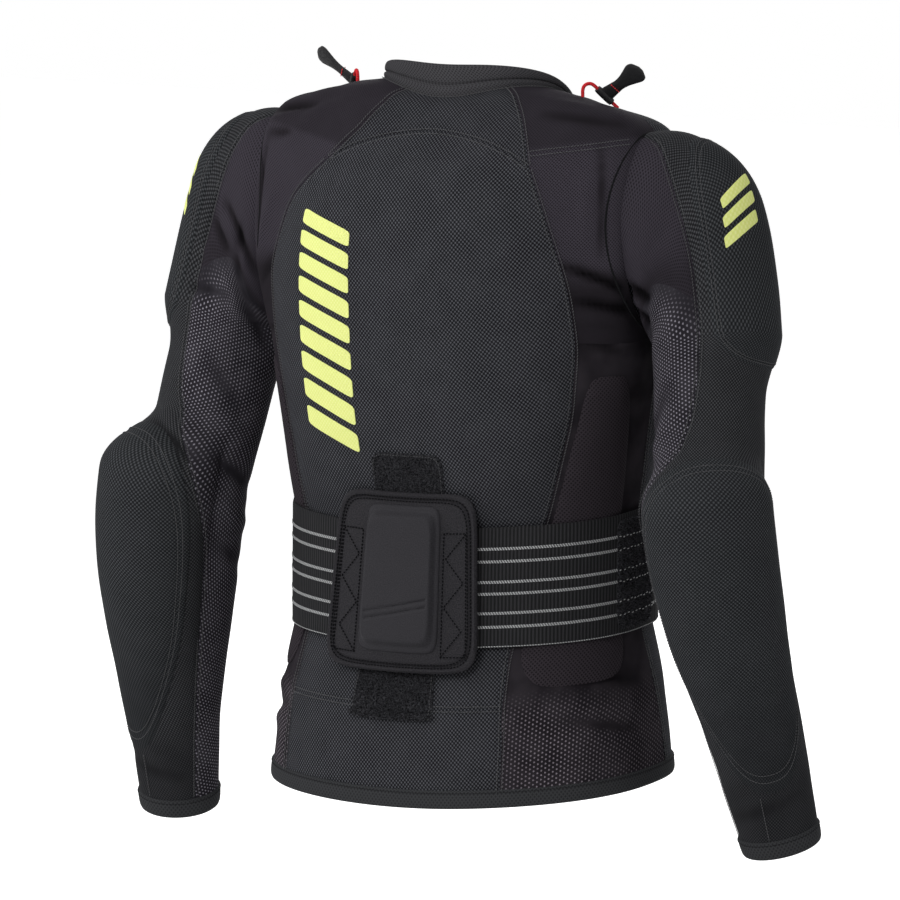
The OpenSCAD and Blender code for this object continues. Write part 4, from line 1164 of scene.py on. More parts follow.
@dataclass
class Studio:
    """Camera at the photograph's angle, pale floor and soft light."""

    aim: tuple[float, float, float] = (0.0187, 0.0109, -0.3011)
    towards: tuple[float, float, float] = (-0.49679, 0.86046, 0.11320)
    distance: float = 25.0
    lamp_distance: float = 2.5
    lens: float = 1200.0
    floor_z: float = -0.72
    floor_half: float = 6.0
    floor_grey: float = 0.86
    floor_glow: float = 0.78
    world_level: float = 0.2

    def stand(self, data: bpy.types.ID, way: tuple[float, float, float], distance: float) -> bpy.types.Object:
        """Camera or lamp at a distance in a direction from the jacket, facing it.

        Args:
            data: What it is.
            way: Direction from the jacket.
            distance: Distance in metres.

        Returns:
            The object that holds it.
        """
        thing = bpy.data.objects.new(data.name, data)
        direction = Vector(way).normalized()
        thing.location = Vector(self.aim) + direction * distance
        thing.rotation_euler = direction.to_track_quat("Z", "Y").to_euler()
        bpy.context.scene.collection.objects.link(thing)
        return thing

    def camera(self) -> None:
        """Long lens far away, which sees almost no perspective."""
        data = bpy.data.cameras.new("photo_camera")
        data.lens = self.lens
        data.sensor_width = 36.0
        data.clip_end = 100.0
        bpy.context.scene.camera = self.stand(data, self.towards, self.distance)

    def seen(self, board: Board) -> bpy.types.NodeSocket:
        """One for rays from the camera or off glossy and clear surfaces, and nought for the rest."""
        ray = board.add("ShaderNodeLightPath")
        seen = board.calc("ADD", ray.outputs["Is Camera Ray"], ray.outputs["Is Glossy Ray"])
        return board.calc("MINIMUM", board.calc("ADD", seen, ray.outputs["Is Transmission Ray"]), 1.0)

    def world(self) -> None:
        """White world for the camera and a plain level of light for everything else."""
        world = bpy.data.worlds.new("studio_world")
        world.use_nodes = True
        bpy.context.scene.world = world
        board = Board(world.node_tree)
        extra = board.calc("MULTIPLY", self.seen(board), 1.0 - self.world_level)
        strength = board.calc("ADD", extra, self.world_level)
        board.fill(world.node_tree.nodes["Background"], Color=WHITE, Strength=strength)

    def floor(self) -> None:
        """Pale floor, half lit and half glowing for the camera, so that it keeps a soft shadow."""
        h, z = self.floor_half, self.floor_z
        mesh = bpy.data.meshes.new("floor")
        mesh.from_pydata([(-h, -h, z), (h, -h, z), (h, h, z), (-h, h, z)], [], [(0, 1, 2, 3)])
        floor = bpy.data.objects.new("floor", mesh)
        bpy.context.scene.collection.objects.link(floor)
        material = bpy.data.materials.new("floor_paint")
        material.use_nodes = True
        board = Board(material.node_tree)
        glow = board.calc("MULTIPLY", self.seen(board), self.floor_glow)
        board.fill(material.node_tree.nodes["Principled BSDF"], Base_Color=(*[self.floor_grey] * 3, 1.0),
                   Roughness=0.9, Emission_Color=WHITE, Emission_Strength=glow)
        mesh.materials.append(material)

    def lamp(self, name: str, way: tuple[float, float, float], size: float, power: float) -> None:
        """Square soft lamp that faces the jacket."""
        data = bpy.data.lights.new(name, "AREA")
        data.size = size
        data.energy = power
        self.stand(data, way, self.lamp_distance)

    def build(self) -> None:
        """Sets the camera, the light and the floor."""
        self.camera()
        self.world()
        self.floor()
        for name, way, size, power in (
                ("top", (0.15, 0.4, 1.0), 1.6, 13.0), ("left", (0.95, 0.6, 0.3), 1.2, 18.0),
                ("key", (-0.1, 1.0, 0.5), 1.0, 20.0), ("right", (-1.0, 0.0, 0.4), 1.2, 7.0),
                ("front", (0.3, -1.0, 0.4), 1.6, 20.0)):
            self.lamp(f"{name}_lamp", way, size, power)
        bpy.context.scene.view_settings.view_transform = "Standard"


def stretched(piece: bpy.types.Object, patch: Patch) -> None:
    """Logs the cut of a thin panel of cloth that is stretched over what it covers.

    Args:
        piece: The panel.
        patch: Its grid, whose longest row and column are the width and length of the cut. The length of a
            narrow crescent is taken as less, so that the cut fills more than a third of its rectangle.
    """
    points = patch.surface.base(patch.a, patch.t) * MM
    across, up = np.diff(points, axis=1), np.diff(points, axis=0)
    width, length = (np.linalg.norm(step, axis=-1).sum(axis).max()
                     for step, axis in ((across, 1), (up, 0)))
    area = np.linalg.norm(np.cross(across[:-1], up[:, :-1]), axis=-1).sum()
    length = min(length, area / (LEAST_FILL * width))
    LOG.info("%s: cut %.3f by %.3f m, %.4f m2", piece.name, width, length, area)


@dataclass
class CordLoop:
    """Red cord loop on one shoulder, with a pull tab that turns on its straight leg."""

    side: Side
    diameter: float = 3.0
    bore: float = 0.15
    tab_len: float = 42.0
    tab_t: float = 3.0
    barrel_r: float = 3.3
    barrel_bore: float = 1.6
    tab_from: int = 7
    tab_to: int = 10
    route: tuple[tuple[float, float, float], ...] = (
        (108, 10, 1), (108, 10, 3.6), (108, 10, 6.2), (108.6, 9.3, 9.46), (110.3, 7.3, 11.55),
        (112.5, 4.7, 11.8), (114.5, 2.4, 10.26), (116.9, -0.45, 6.8), (119.3, -3.3, 3.34),
        (121.7, -6.15, -0.12), (124.1, -9, -3.58), (126.5, -11.85, -7.04), (128.1, -13.75, -9.35))

    def cord(self) -> None:
        """Round braided tube on the smooth curve through the route's points."""
        rows = np.array(self.route, float)
        line = curve(rows, np.linspace(0.0, len(rows) - 1.0, 97))
        run = lengths(line)
        uv = ruled(np.linspace(0.0, np.pi * self.diameter, 15), run)
        solid = tube(line, (0.6, 0.64, 0.48), self.diameter / 2, self.bore, 14, uv)
        piece = make_piece("cord_{}", solid, CORD_BRAID, ["cord_loop_{}"], side=self.side)
        path = self.side.place(line) * MM
        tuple(path[0])
        self.tab()

    def tab(self) -> bpy.types.Object:
        """Rubber tab: a barrel round the cord and a waisted blade with rounded edges and red stitches.

        Returns:
            The tab, without its stitches.
        """
        start, end = np.array(self.route, float)[[self.tab_from, self.tab_to]]
        axis, middle = unit(end - start), (start + end) / 2
        aim = np.array([0.87, -0.07, 0.48])
        up = unit(aim - (aim @ axis) * axis)
        face = np.cross(up, axis)
        half = [(0.0, 7.0), (0.4, 4.94), (0.55, 5.94), (0.84, 10.5), (0.95, 8.8), (1.0, 5.0)]
        run = np.linspace(0.06, 1.0, 46)[:, None]
        reach = eased(half, run, 0.05) * np.sqrt(clamp((1.02 - run) / 0.08))
        across = np.sin(np.linspace(-np.pi / 2, np.pi / 2, 17))
        round_edge = np.sqrt(np.maximum(0.0, 1.0 - np.abs(across) ** 3))
        groove = 1.0 - 0.25 * bell(np.abs(across) - 0.78, 0.07)
        thick = self.tab_t / 2 * round_edge * groove * np.sqrt(clamp((1.01 - run) / 0.05))
        flat = middle + run[..., None] * self.tab_len * up + (reach * across)[..., None] * axis
        out = thick[..., None] * face
        blade = shell(flat + out, flat - out, ruled(across * 9.0, run[:, 0] * self.tab_len))
        turn = circle(32)[:, None]
        spoke = np.cos(turn) * face + np.sin(turn) * up
        places = np.linspace(-1.0, 1.0, 9)[:, None, None]
        length = np.linalg.norm(end - start) / 2 + 1.0
        line = middle + places * length * axis
        swell = self.barrel_r * (1.0 - 0.12 * np.abs(places) ** 6)
        barrel = shell(line + swell * spoke, line + self.barrel_bore * spoke,
                       ruled(np.linspace(0, 20.0, 33), places.ravel() * length), ring=True)
        mount = Mount(f"tab_{self.side.tag}")
        piece = make_piece("tab_{}", joined([blade, barrel]), TAB_RUBBER, ["pull_tab_{}"],
                           mount, self.side)
        ends = middle + 0.3 * self.tab_len * up + np.linspace(-4.2, 4.2, 8)[:, None] * axis
        threads = [stitches(Path(ends + 1.45 * way, np.broadcast_to(way, (8, 3)), np.zeros(8)), 2.1, 1.7)
                   for way in (face, -face)]
        make_piece("tab_stitches_{}", joined(threads), RED_THREAD, (), mount, self.side)
        return piece


@dataclass
class BackPanels:
    """Back protector under its cover, the yoke over it, the lower back and what lies on them."""

    body: Torso = Torso()
    crown: float = 12.0
    fabric_t: float = 2.0
    strip_t: float = 1.5
    strip_power: float = 7.0
    arch_room: float = 0.004
    cross_seam_v: float = 1.09
    cover_wave: tuple[float, float, int] = (0.35, 90.0, 3)

    def left(self, v: Array) -> Array:
        """Angle just past the seam on the left of the back."""
        return self.body.back_edge(v, Side.LEFT) + SEAM_ROOM

    def right(self, v: Array) -> Array:
        """Angle just past the seam on the right of the back."""
        return -SEAM_ROOM - self.body.back_edge(v, Side.RIGHT)

    def cover_swell(self, s: Array, t: Array) -> Array:
        """Height of the protector: a broad hump that fades at the foot and under the arched seam."""
        return 2.0 + self.crown * hump(s) * smooth((t - 0.1) / 0.25) * smooth((1 - t) / 0.2)

    def cover_height(self, u: Array, v: Array) -> Array:
        """Height of the protector at an angle and a row of the body."""
        left, right = self.body.back_edge(v, Side.LEFT), self.body.back_edge(v, Side.RIGHT)
        low = self.body.protector_low_v
        return self.cover_swell((u + right) / (left + right), (v - low) / (self.body.arch_v(u) - low))

    def fitted(self, s: Array, v: Array, row: Callable[[Array], Array], rounds: int) -> Patch:
        """Patch from seam to seam whose rows depend on the angle, found by trying in turns.

        Args:
            s: Share of the way from the right seam to the left one.
            v: First guess of the rows.
            row: Rows at the angles.
            rounds: Number of turns.

        Returns:
            The patch of the last turn.
        """
        for _ in range(rounds):
            u = mix(self.right(v), self.left(v), s)
            v = row(u)
        return Patch(self.body, u, v)

    def cover(self) -> None:
        """Padded back panel: a crowned closed form from the lining to the cover."""
        low, arch, room = self.body.protector_low_v, self.body.arch_v, self.arch_room
        s, t = np.meshgrid(np.linspace(0, 1, 131), np.linspace(0, 1, 171))
        first = mix(low, arch(mix(-48.5, 43.0, s)) + room, t)
        patch = self.fitted(s, first, lambda u: mix(low, arch(u) + room, t), 3)
        edge = patch.border()
        off = self.cover_swell(s, t) * smooth((edge + 1.5) / 7.0) - 0.4
        off = off - 0.7 * bell(edge - 6.5, 1.6) + patch.uneven(*self.cover_wave)
        # Painted shade: the pattern fades below row 3.1, so the foot of the protector is darker.
        tone = 1 - 0.22 * smooth((3.1 - patch.t) / 0.6)
        piece = make_piece("back_protector", patch.solid(off, off + self.fabric_t, tone=tone), BACK_CLOTH,
                           ["back_panel", "back_protector_core", "back_lining"])

    def panels(self) -> None:
        """Yoke above the arched seam and lower back below the waist, both thin cloth."""
        arch, room = self.body.arch_v, self.arch_room
        s, t = np.meshgrid(np.linspace(0, 1, 91), np.linspace(0, 1, 41))
        yoke = self.fitted(s, mix(6.0, 8.0, t), lambda u: mix(arch(u) - room, 8.0, t), 4)
        off = seam_dip(yoke.border(high=False)) + yoke.uneven(0.3, 70.0, 5)
        piece = make_piece("back_yoke_cloth", yoke.solid(off, self.fabric_t, tone=0.86), BACK_CLOTH,
                           ["back_yoke"])
        stretched(piece, yoke)
        rows = np.linspace(self.body.hem_top_v - HEM_ROOM, self.body.protector_low_v, 56)
        lower = Patch.between(self.body, rows, self.right, self.left, 90)
        seam = np.abs(lower.t - self.cross_seam_v) * 98.0
        off = seam_dip(lower.border()) + lower.uneven(0.5, 60.0, 8) - 0.7 * bell(seam, 2.0)
        piece = make_piece("lower_back_cloth", lower.solid(off, self.fabric_t), BACK_CLOTH,
                           ["lower_back_panel"])
        stretched(piece, lower)

    def print_bars(self) -> None:
        """Nine plain slanted bars in lime, pressed on the left of the back."""
        low, high, count = 3.20, 5.05, 9
        step = (high - low) / count
        x, y, rho = disc(15, 9.0)
        bars = []
        for k in range(count):
            v = low + step * (k + 0.5 + 0.36 * y) + 0.09 * x
            patch = Patch(self.body, mix(31.0, 33.5, (v - low) / (high - low)) + 11.0 * x, v)
            off = self.cover_height(patch.a, v) + 0.55 - 0.3 * rho**6 + patch.uneven(*self.cover_wave)
            bars.append(patch.solid(off, 0.9))
        make_piece("back_print", joined(bars), LIME_PRINT)

    def strip(self, name: str, node: str, middle: tuple[float, float], half: tuple[float, float],
              lift: Callable[[Array, Array], Array], seed: int, lip: float = 0.0) -> None:
        """Hook strip with rounded corners, cut pile and a row of stitches round it.

        Args:
            name: Its name.
            node: CAD node it stands for.
            middle: Angle and row of its middle.
            half: Half its angle and half its rows.
            lift: Height of what it lies on.
            seed: Number that fixes the pile.
            lip: Height of the rolled lip at its foot.
        """
        x, y, rho = disc(37, self.strip_power)
        foot = smooth((-0.72 - y) / 0.1) * min(lip, 1.0)
        patch = Patch(self.body, middle[0] + half[0] * x * (1 + 0.09 * foot), middle[1] + half[1] * y)
        dip = bell(y + 0.66, 0.06)
        off = lift(patch.a, patch.t) + 0.6 + self.strip_t * (1 - 0.6 * rho**8) + lip * (foot - 0.6 * dip)
        pile = tufts(patch, off - 0.1, 3600, 1.6, seed)
        make_piece(name, joined([patch.solid(off, self.strip_t), pile]), HOOK_PILE, [node])
        x, y = rounded(np.linspace(0, 2 * np.pi, 160), self.strip_power)
        a, t = middle[0] + 0.95 * half[0] * x, middle[1] + 0.95 * half[1] * y
        line = Path.on(self.body, a, t, lift(a, t) + self.strip_t + 0.3)
        make_piece(f"{name}_stitches", stitches(line, 2.8, 2.0), THREAD)

    def seams(self) -> None:
        """Flat seams along the arch, the sides of the back and the low cross seam."""
        body = self.body
        u = np.linspace(-48.0, 42.5, 120)
        lines = [Path.on(body, u, body.arch_v(u), 0.5)]
        for side in Side:
            for low, high in ((body.hem_top_v, 1.95), (2.05, 5.62), (5.70, 7.95)):
                v = np.linspace(low, high, 120)
                lines.append(Path.on(body, side.value * body.back_edge(v, side), v, 0.5))
        lines.append(Path.on(body, np.linspace(-38.0, 52.0, 80), self.cross_seam_v, 0.1))
        make_piece("back_seams", joined([flatlock(line) for line in lines]), THREAD)

    def build(self) -> None:
        """Makes every piece of the back."""
        self.cover()
        self.panels()
        self.print_bars()
        self.strip("upper_hook_pile", "upper_hook_strip", (-1.5, 2.90), (16.5, 0.265), self.cover_height, 21)
        self.strip("lower_hook_pile", "lower_hook_strip", (5.0, 1.22), (18.0, 0.25),
                   lambda u, v: np.zeros_like(u), 22, 2.0)
        self.seams()


# Folds as start angle and row, end angle and row, height and width; their valleys also get painted shade.
SHOULDER_FOLDS: dict[Side, tuple[Fold, ...]] = {
    Side.RIGHT: (
        (56, 4.68, 74, 4.50, -5, 4.5), (58, 4.52, 74, 4.42, 3, 5), (59, 4.37, 76, 4.31, -5, 4.5),
        (60, 4.22, 76, 4.18, 3, 5), (70, 4.55, 78, 4.20, -2.4, 12), (69, 5.9, 67, 4.75, -2.6, 4),
        (64, 5.5, 62, 4.85, 2.2, 7), (57, 6.5, 78, 6.05, -2.6, 6), (50, 7.2, 75, 6.6, 1.8, 9),
    ),
    Side.LEFT: (
        (60, 6.35, 77, 5.96, -4, 5), (62, 6.05, 74, 5.82, 3, 5), (58, 5.85, 73, 5.72, -3, 4.5),
        (52, 6.6, 62, 5.7, 2.4, 7), (70, 5.7, 69, 4.6, -3, 4.5), (62, 5.3, 70, 4.5, 2.4, 6),
        (57, 4.7, 70, 4.35, -3, 5), (50, 7.2, 75, 6.6, 1.8, 9),
    ),
}
SLEEVE_FOLDS: dict[Side, tuple[Fold, ...]] = {
    Side.RIGHT: (
        (128, 0, 114, 0.5, -2.4, 14), (118, 0, 108, 0.55, -5, 5), (132, 0.08, 126, 0.6, -4, 5),
        (126, 0, 117, 0.55, 3, 5), (96, 0.15, 84, 0.8, 2.6, 7), (100, 2.62, 24, 2.92, -3.2, 5),
        (96, 2.42, 20, 2.66, 2.4, 6),
    ),
    Side.LEFT: (
        (66, 0.47, 125, 0.04, -4, 5), (62, 0.62, 88, 0.6, -3.6, 4.5), (72, 0.54, 112, 0.3, 3, 6),
        (60, 0.78, 104, 0.7, 2.6, 6), (58, 0.95, 108, 0.86, -3.2, 5), (90, 0.2, 120, 0.7, -3, 6),
        (58, 2.40, 122, 2.70, -3, 5), (56, 2.2, 118, 2.5, 2.2, 6),
    ),
}
ARM_FOLDS: tuple[Fold, ...] = (
    (120, 0.5, 165, 1.25, -3, 6), (95, 1.5, 150, 2, -2.2, 7), (100, 1.9, 160, 2.35, 2.2, 7),
    (125, 2.6, 215, 2.95, -3.2, 7), (140, 3, 220, 3.35, 2.6, 7), (150, 3.4, 215, 3.7, -2.4, 7),
    (20, 5.45, 140, 5.6, -1.4, 6),
)
FLANK_FOLDS: tuple[Fold, ...] = (
    (61, 4, 80, 3.92, -3, 5), (72, 4, 84, 3.82, 2.4, 6), (60, 1.36, 88, 1.18, -2.4, 5),
    (56, 1.2, 84, 0.9, 2.4, 6), (54, 0.98, 84, 0.7, -2.6, 6), (58, 0.8, 92, 0.5, 2, 7),
)


@dataclass
class SidePanels:
    """Shoulder, side, flank and front of one side."""

    side: Side
    body: Torso = Torso()
    fabric_t: float = 2.0
    flank_t: float = 3.4
    seam_set: float = 4.5
    shoulder_seam_v: float = 5.82

    def back(self, v: Array) -> Array:
        """Angle of the seam towards the back."""
        return self.body.back_edge(v, self.side) - SEAM_ROOM

    def armhole_rows(self, count: int) -> Array:
        """Rows beside the armhole, closer together at its foot and its top."""
        return (5.0 - np.cos(np.linspace(0.0, np.pi, count))) * 0.996 + 0.02

    def cloth(self, name: str, node: str, patch: Patch, finish: Finish, slot: str, seed: int, wave: float,
              tone: Array | float = 1.0, folds: Sequence[Fold] = (), left: bool = True,
              right: bool = True) -> None:
        """Thin panel whose edges dip into their seams.

        Args:
            name: Its name.
            node: CAD node it stands for.
            patch: Grid of the panel.
            finish: Its material.
            slot: Name of a material slot; not used.
            seed: Number that fixes its unevenness.
            wave: Height of its unevenness.
            tone: Pattern strength, to which the folds add painted shade.
            folds: Soft folds in it, with painted shade in their valleys.
            left: Whether its first edge dips.
            right: Whether its last edge dips.
        """
        extra = folded(self.body, self.body.base(patch.a, patch.t), folds)
        edge = patch.border(low=False, high=False, left=left, right=right)
        off = seam_dip(edge) + patch.uneven(wave, 55.0, seed) + extra
        # Painted shade in the valleys of the folds: the tone drops below nought there.
        solid = patch.solid(off, self.fabric_t, tone=sunk(tone, extra))
        piece = make_piece(name, solid, finish, [node], side=self.side)
        stretched(piece, patch)

    def shoulder(self) -> None:
        """Plain panel from the back seam to the armhole and up to the neck, with soft folds and painted shade
        towards its foot.
        """
        rows = np.concatenate([self.armhole_rows(60), np.linspace(6.01, 8.0, 36)])
        patch = Patch.between(self.body, rows, self.back, lambda v: 90.1 - self.body.armhole_edge(v), 46)
        above = smooth((patch.t - self.shoulder_seam_v) / 0.1)
        # Painted shade: the pattern fades out towards the foot of the panel, so the lower shoulder under the
        # arm is darker.
        tone = smooth((patch.t - 4.45) / 0.3) * (1 - 0.6 * above)
        self.cloth("shoulder_cloth_{}", "shoulder_panel_{}", patch, SHOULDER_CLOTH, "shoulder_fabric", 31,
                   0.5, tone, SHOULDER_FOLDS[self.side], right=False)

    def flank(self) -> None:
        """Mesh side panel and the padded cover on it."""
        rows = np.linspace(self.body.hem_top_v - HEM_ROOM, 4.01, 110)
        side = Patch.between(self.body, rows, self.back, lambda v: self.body.side_edge(v) + SEAM_ROOM, 44)
        # The mesh pattern, whose light holes are painted light, shows below row 1.25 and is strongest near
        # angle 55.
        tone = smooth((1.25 - side.t) / 0.3) * (0.5 + 0.5 * bell(side.a - 55.0, 11.0))
        self.cloth("side_cloth_{}", "side_panel_{}", side, SIDE_MESH, "mesh_fabric", 33, 0.6, tone,
                   FLANK_FOLDS)
        x, y, rho = disc(61, 4.5)
        v = 2.49 + 1.24 * y
        patch = Patch(self.body, mix(self.back(v) + 2.5, self.body.side_edge(v) - 11.0, (x + 1) / 2), v)
        off = 0.7 + self.flank_t * np.maximum(0.0, 1 - rho**4) ** 0.6 + patch.uneven(0.35, 50.0, 36)
        pad = make_piece("flank_cover_{}", patch.solid(off, off - 0.2), FLANK_CLOTH,
                         ["flank_pad_{}"], side=self.side)

    def front(self) -> None:
        """Front panel from the side seam to the zip."""
        rows = np.concatenate([np.linspace(self.body.hem_top_v - HEM_ROOM, 3.97, 80), self.armhole_rows(50),
                               np.linspace(6.02, 8.0, 34)])
        patch = Patch.between(
            self.body, rows,
            lambda v: np.where(v < 4.0, self.body.side_edge(v), 90.0 + self.body.armhole_edge(v)) - 0.1,
            lambda v: np.full_like(v, 171.3), 70)
        self.cloth("front_cloth_{}", "front_panel_{}", patch, BACK_CLOTH, "back_fabric", 37, 0.5, left=False)

    def seams(self) -> None:
        """Dark line of the armhole, flat seam under the arm, and on the right one across the shoulder."""
        body = self.body
        turn = np.linspace(0.0, 2 * np.pi, 200)
        reach = body.armhole_half_angle + self.seam_set * np.maximum(0.0, np.sin(turn))
        around = Path.on(body, 90 - reach * np.sin(turn), 5 + np.cos(turn), 0.1)
        make_piece("armhole_seam_{}", ribbon(around, 1.6, 0.3, 0.4), DARK_THREAD,
                   side=self.side)
        v = np.linspace(body.hem_top_v, 3.98, 110)
        lines = [Path.on(body, body.side_edge(v), v, 0.2)]
        if self.side is Side.RIGHT:
            lines.append(Path.on(body, np.linspace(50.0, 76.0, 60), self.shoulder_seam_v, 0.5))
        make_piece("side_seams_{}", joined([flatlock(line) for line in lines]), THREAD,
                   side=self.side)

    def build(self) -> None:
        """Makes every piece of the side."""
        self.shoulder()
        self.flank()
        self.front()
        self.seams()


@dataclass
class Neckline:
    """Folded stand collar that is open at the zip."""

    body: Torso = Torso()
    back_h: float = 27.0
    front_h: float = 24.0
    side_drop: float = 14.0
    thick: float = 3.0
    lean: float = 4.0
    foot: float = 0.8
    crease_h: float = 0.36
    zip_half: float = 12.8

    def rim(self, u: Array, h: Array, inwards: Array) -> Array:
        """Points of the collar: the neck's edge, lifted and leaning inwards as it rises.

        Args:
            u: Angle round the neck.
            h: Share of the collar's height.
            inwards: Distance of a further move inwards.

        Returns:
            Points in millimetres.
        """
        base = self.body.base(u, 8.0)
        c, s = np.cos(np.radians(u)), np.sin(np.radians(u))
        tall = mix(self.back_h, self.front_h, (1 - c) / 2) - self.foot - self.side_drop * s * s
        lean = mix(self.lean, -self.body.front_lean * self.front_h, (1 - c) / 2) * h + inwards
        flat = unit(base * np.array([1.0, 1.0, 0.0]))
        rise = (self.foot + tall * h)[..., None] * np.array([0.0, 0.0, 1.0])
        return base + rise - lean[..., None] * flat

    def build(self) -> None:
        """Band with a crease along it and a rounded fold at the top, and the stitches at its foot."""
        gap = math.degrees(math.atan2(self.zip_half, self.body.neck_front_d))
        u, h = np.meshgrid(np.linspace(gap - 180, 180 - gap, 221), np.linspace(-0.14, 1.0, 33))
        fold = 1.5 * (1 - np.sqrt(np.maximum(0.0, 1 - clamp((h - 0.86) / 0.14) ** 2)))
        groove = 1.3 * bell(h - self.crease_h, 0.05)
        bulge = 0.9 * np.sin(np.pi * clamp((h - self.crease_h) / (1 - self.crease_h)))
        bulge = bulge + 0.7 * np.sin(np.pi * clamp(h / self.crease_h))
        wave = 0.4 * ripple(self.rim(u, h, np.zeros_like(u)), 45.0, 41)
        outer = self.rim(u, h, fold + groove - bulge + wave)
        inner = self.rim(u, h, self.thick - fold + wave)
        uv = np.stack([lengths(outer, 1), h * self.back_h], -1)
        make_piece("collar_band", shell(outer, inner, uv), COLLAR_CLOTH, ["collar"])
        line = Path.on(self.body, np.linspace(gap - 178, 178 - gap, 260), 7.95, 0.4)
        make_piece("collar_seam", stitches(line, 2.5, 2.1, 0.75), THREAD)


@dataclass
class Hem:
    """Rolled binding round the hem."""

    body: Torso = Torso()
    half_t: float = 2.6
    low_v: float = 0.015
    high_v: float = 0.225
    stitch_v: float = 0.19

    def build(self) -> None:
        """Oval tube along the hem, with a row of stitches near its top."""
        u = np.degrees(circle(300))
        low, high = self.body.base(u, self.low_v), self.body.base(u, self.high_v)
        middle = (low + high) / 2
        out = self.body.normal(u, (self.low_v + self.high_v) / 2)
        swell = self.half_t * (1 + 0.05 * ripple(middle, 40.0, 43))
        roll = rolled(low, high, out, swell, 1.0, 24, lengths(np.vstack([middle, middle[:1]])), True)
        make_piece("hem_roll", roll, BINDING, ["hem_binding"])
        line = Path.on(self.body, np.linspace(0.0, 360.0, 700), self.stitch_v, 1.35)
        make_piece("hem_stitches", stitches(line, 2.6, 2.1, 0.7), DARK_THREAD)


@dataclass
class FrontZip:
    """Straight zip up the front: two tapes with their coils, and the metal of the slider and puller."""

    body: Torso = Torso()
    top_z: float = -39.0
    low_z: float = -532.0
    half_w: float = 18.0
    foot: float = 9.0
    tape_y: float = -1.2
    coil_r: float = 0.9
    wire_r: float = 0.40
    wire_bore: float = 0.05
    coil_pitch: float = 1.7

    def place(self, x: Array, y: Array | float, s: Array) -> Array:
        """Points at x across, y out of the front and s up the zip."""
        turn = math.atan(self.body.front_lean)
        depth = self.body.front_depth(self.low_z)
        x, y, s = np.broadcast_arrays(x, y, s)
        return np.stack([x, -depth - y * math.cos(turn) + s * math.sin(turn),
                         self.low_z + y * math.sin(turn) + s * math.cos(turn)], -1)

    def half(self, side: Side) -> None:
        """One tape, ribbed along its length, and one coil of wound wire at its edge.

        Args:
            side: Side of the wearer.
        """
        length = (self.top_z - self.low_z) / math.cos(math.atan(self.body.front_lean))
        x, s = np.meshgrid(np.linspace(self.half_w, 0.1, 12), np.linspace(-self.foot, length, 90))
        tape = shell(self.place(x, self.tape_y + 0.6, s), self.place(x, self.tape_y - 0.55, s),
                     np.stack([x, s], -1))
        make_piece("zip_tape_{}", tape, ZIP_TAPE, ["zip_half_{}"], side=side)
        turns = int(length / self.coil_pitch)
        wind = np.linspace(0.0, turns * 2 * np.pi, turns * 10)
        line = self.place(0.42 + self.coil_r * (1 + np.cos(wind)), self.tape_y + 1.3 + 0.65 * np.sin(wind),
                          wind / (turns * 2 * np.pi) * length)
        uv = ruled(np.linspace(0, 2.5, 6), wind)
        wire = tube(line, (0.0, 0.0, 1.0), self.wire_r, self.wire_bore, 5, uv)
        make_piece("zip_coil_{}", wire, ZIP_COIL, side=side)

    def build(self) -> None:
        """Makes both halves and dresses the slider and puller."""
        for side in Side:
            self.half(side)
        for node, finish in (("zip_slider", ZIP_METAL), ("zip_puller", ZIP_PULL)):
            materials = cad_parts[node].data.materials
            materials.clear()
            materials.append(finish.material())


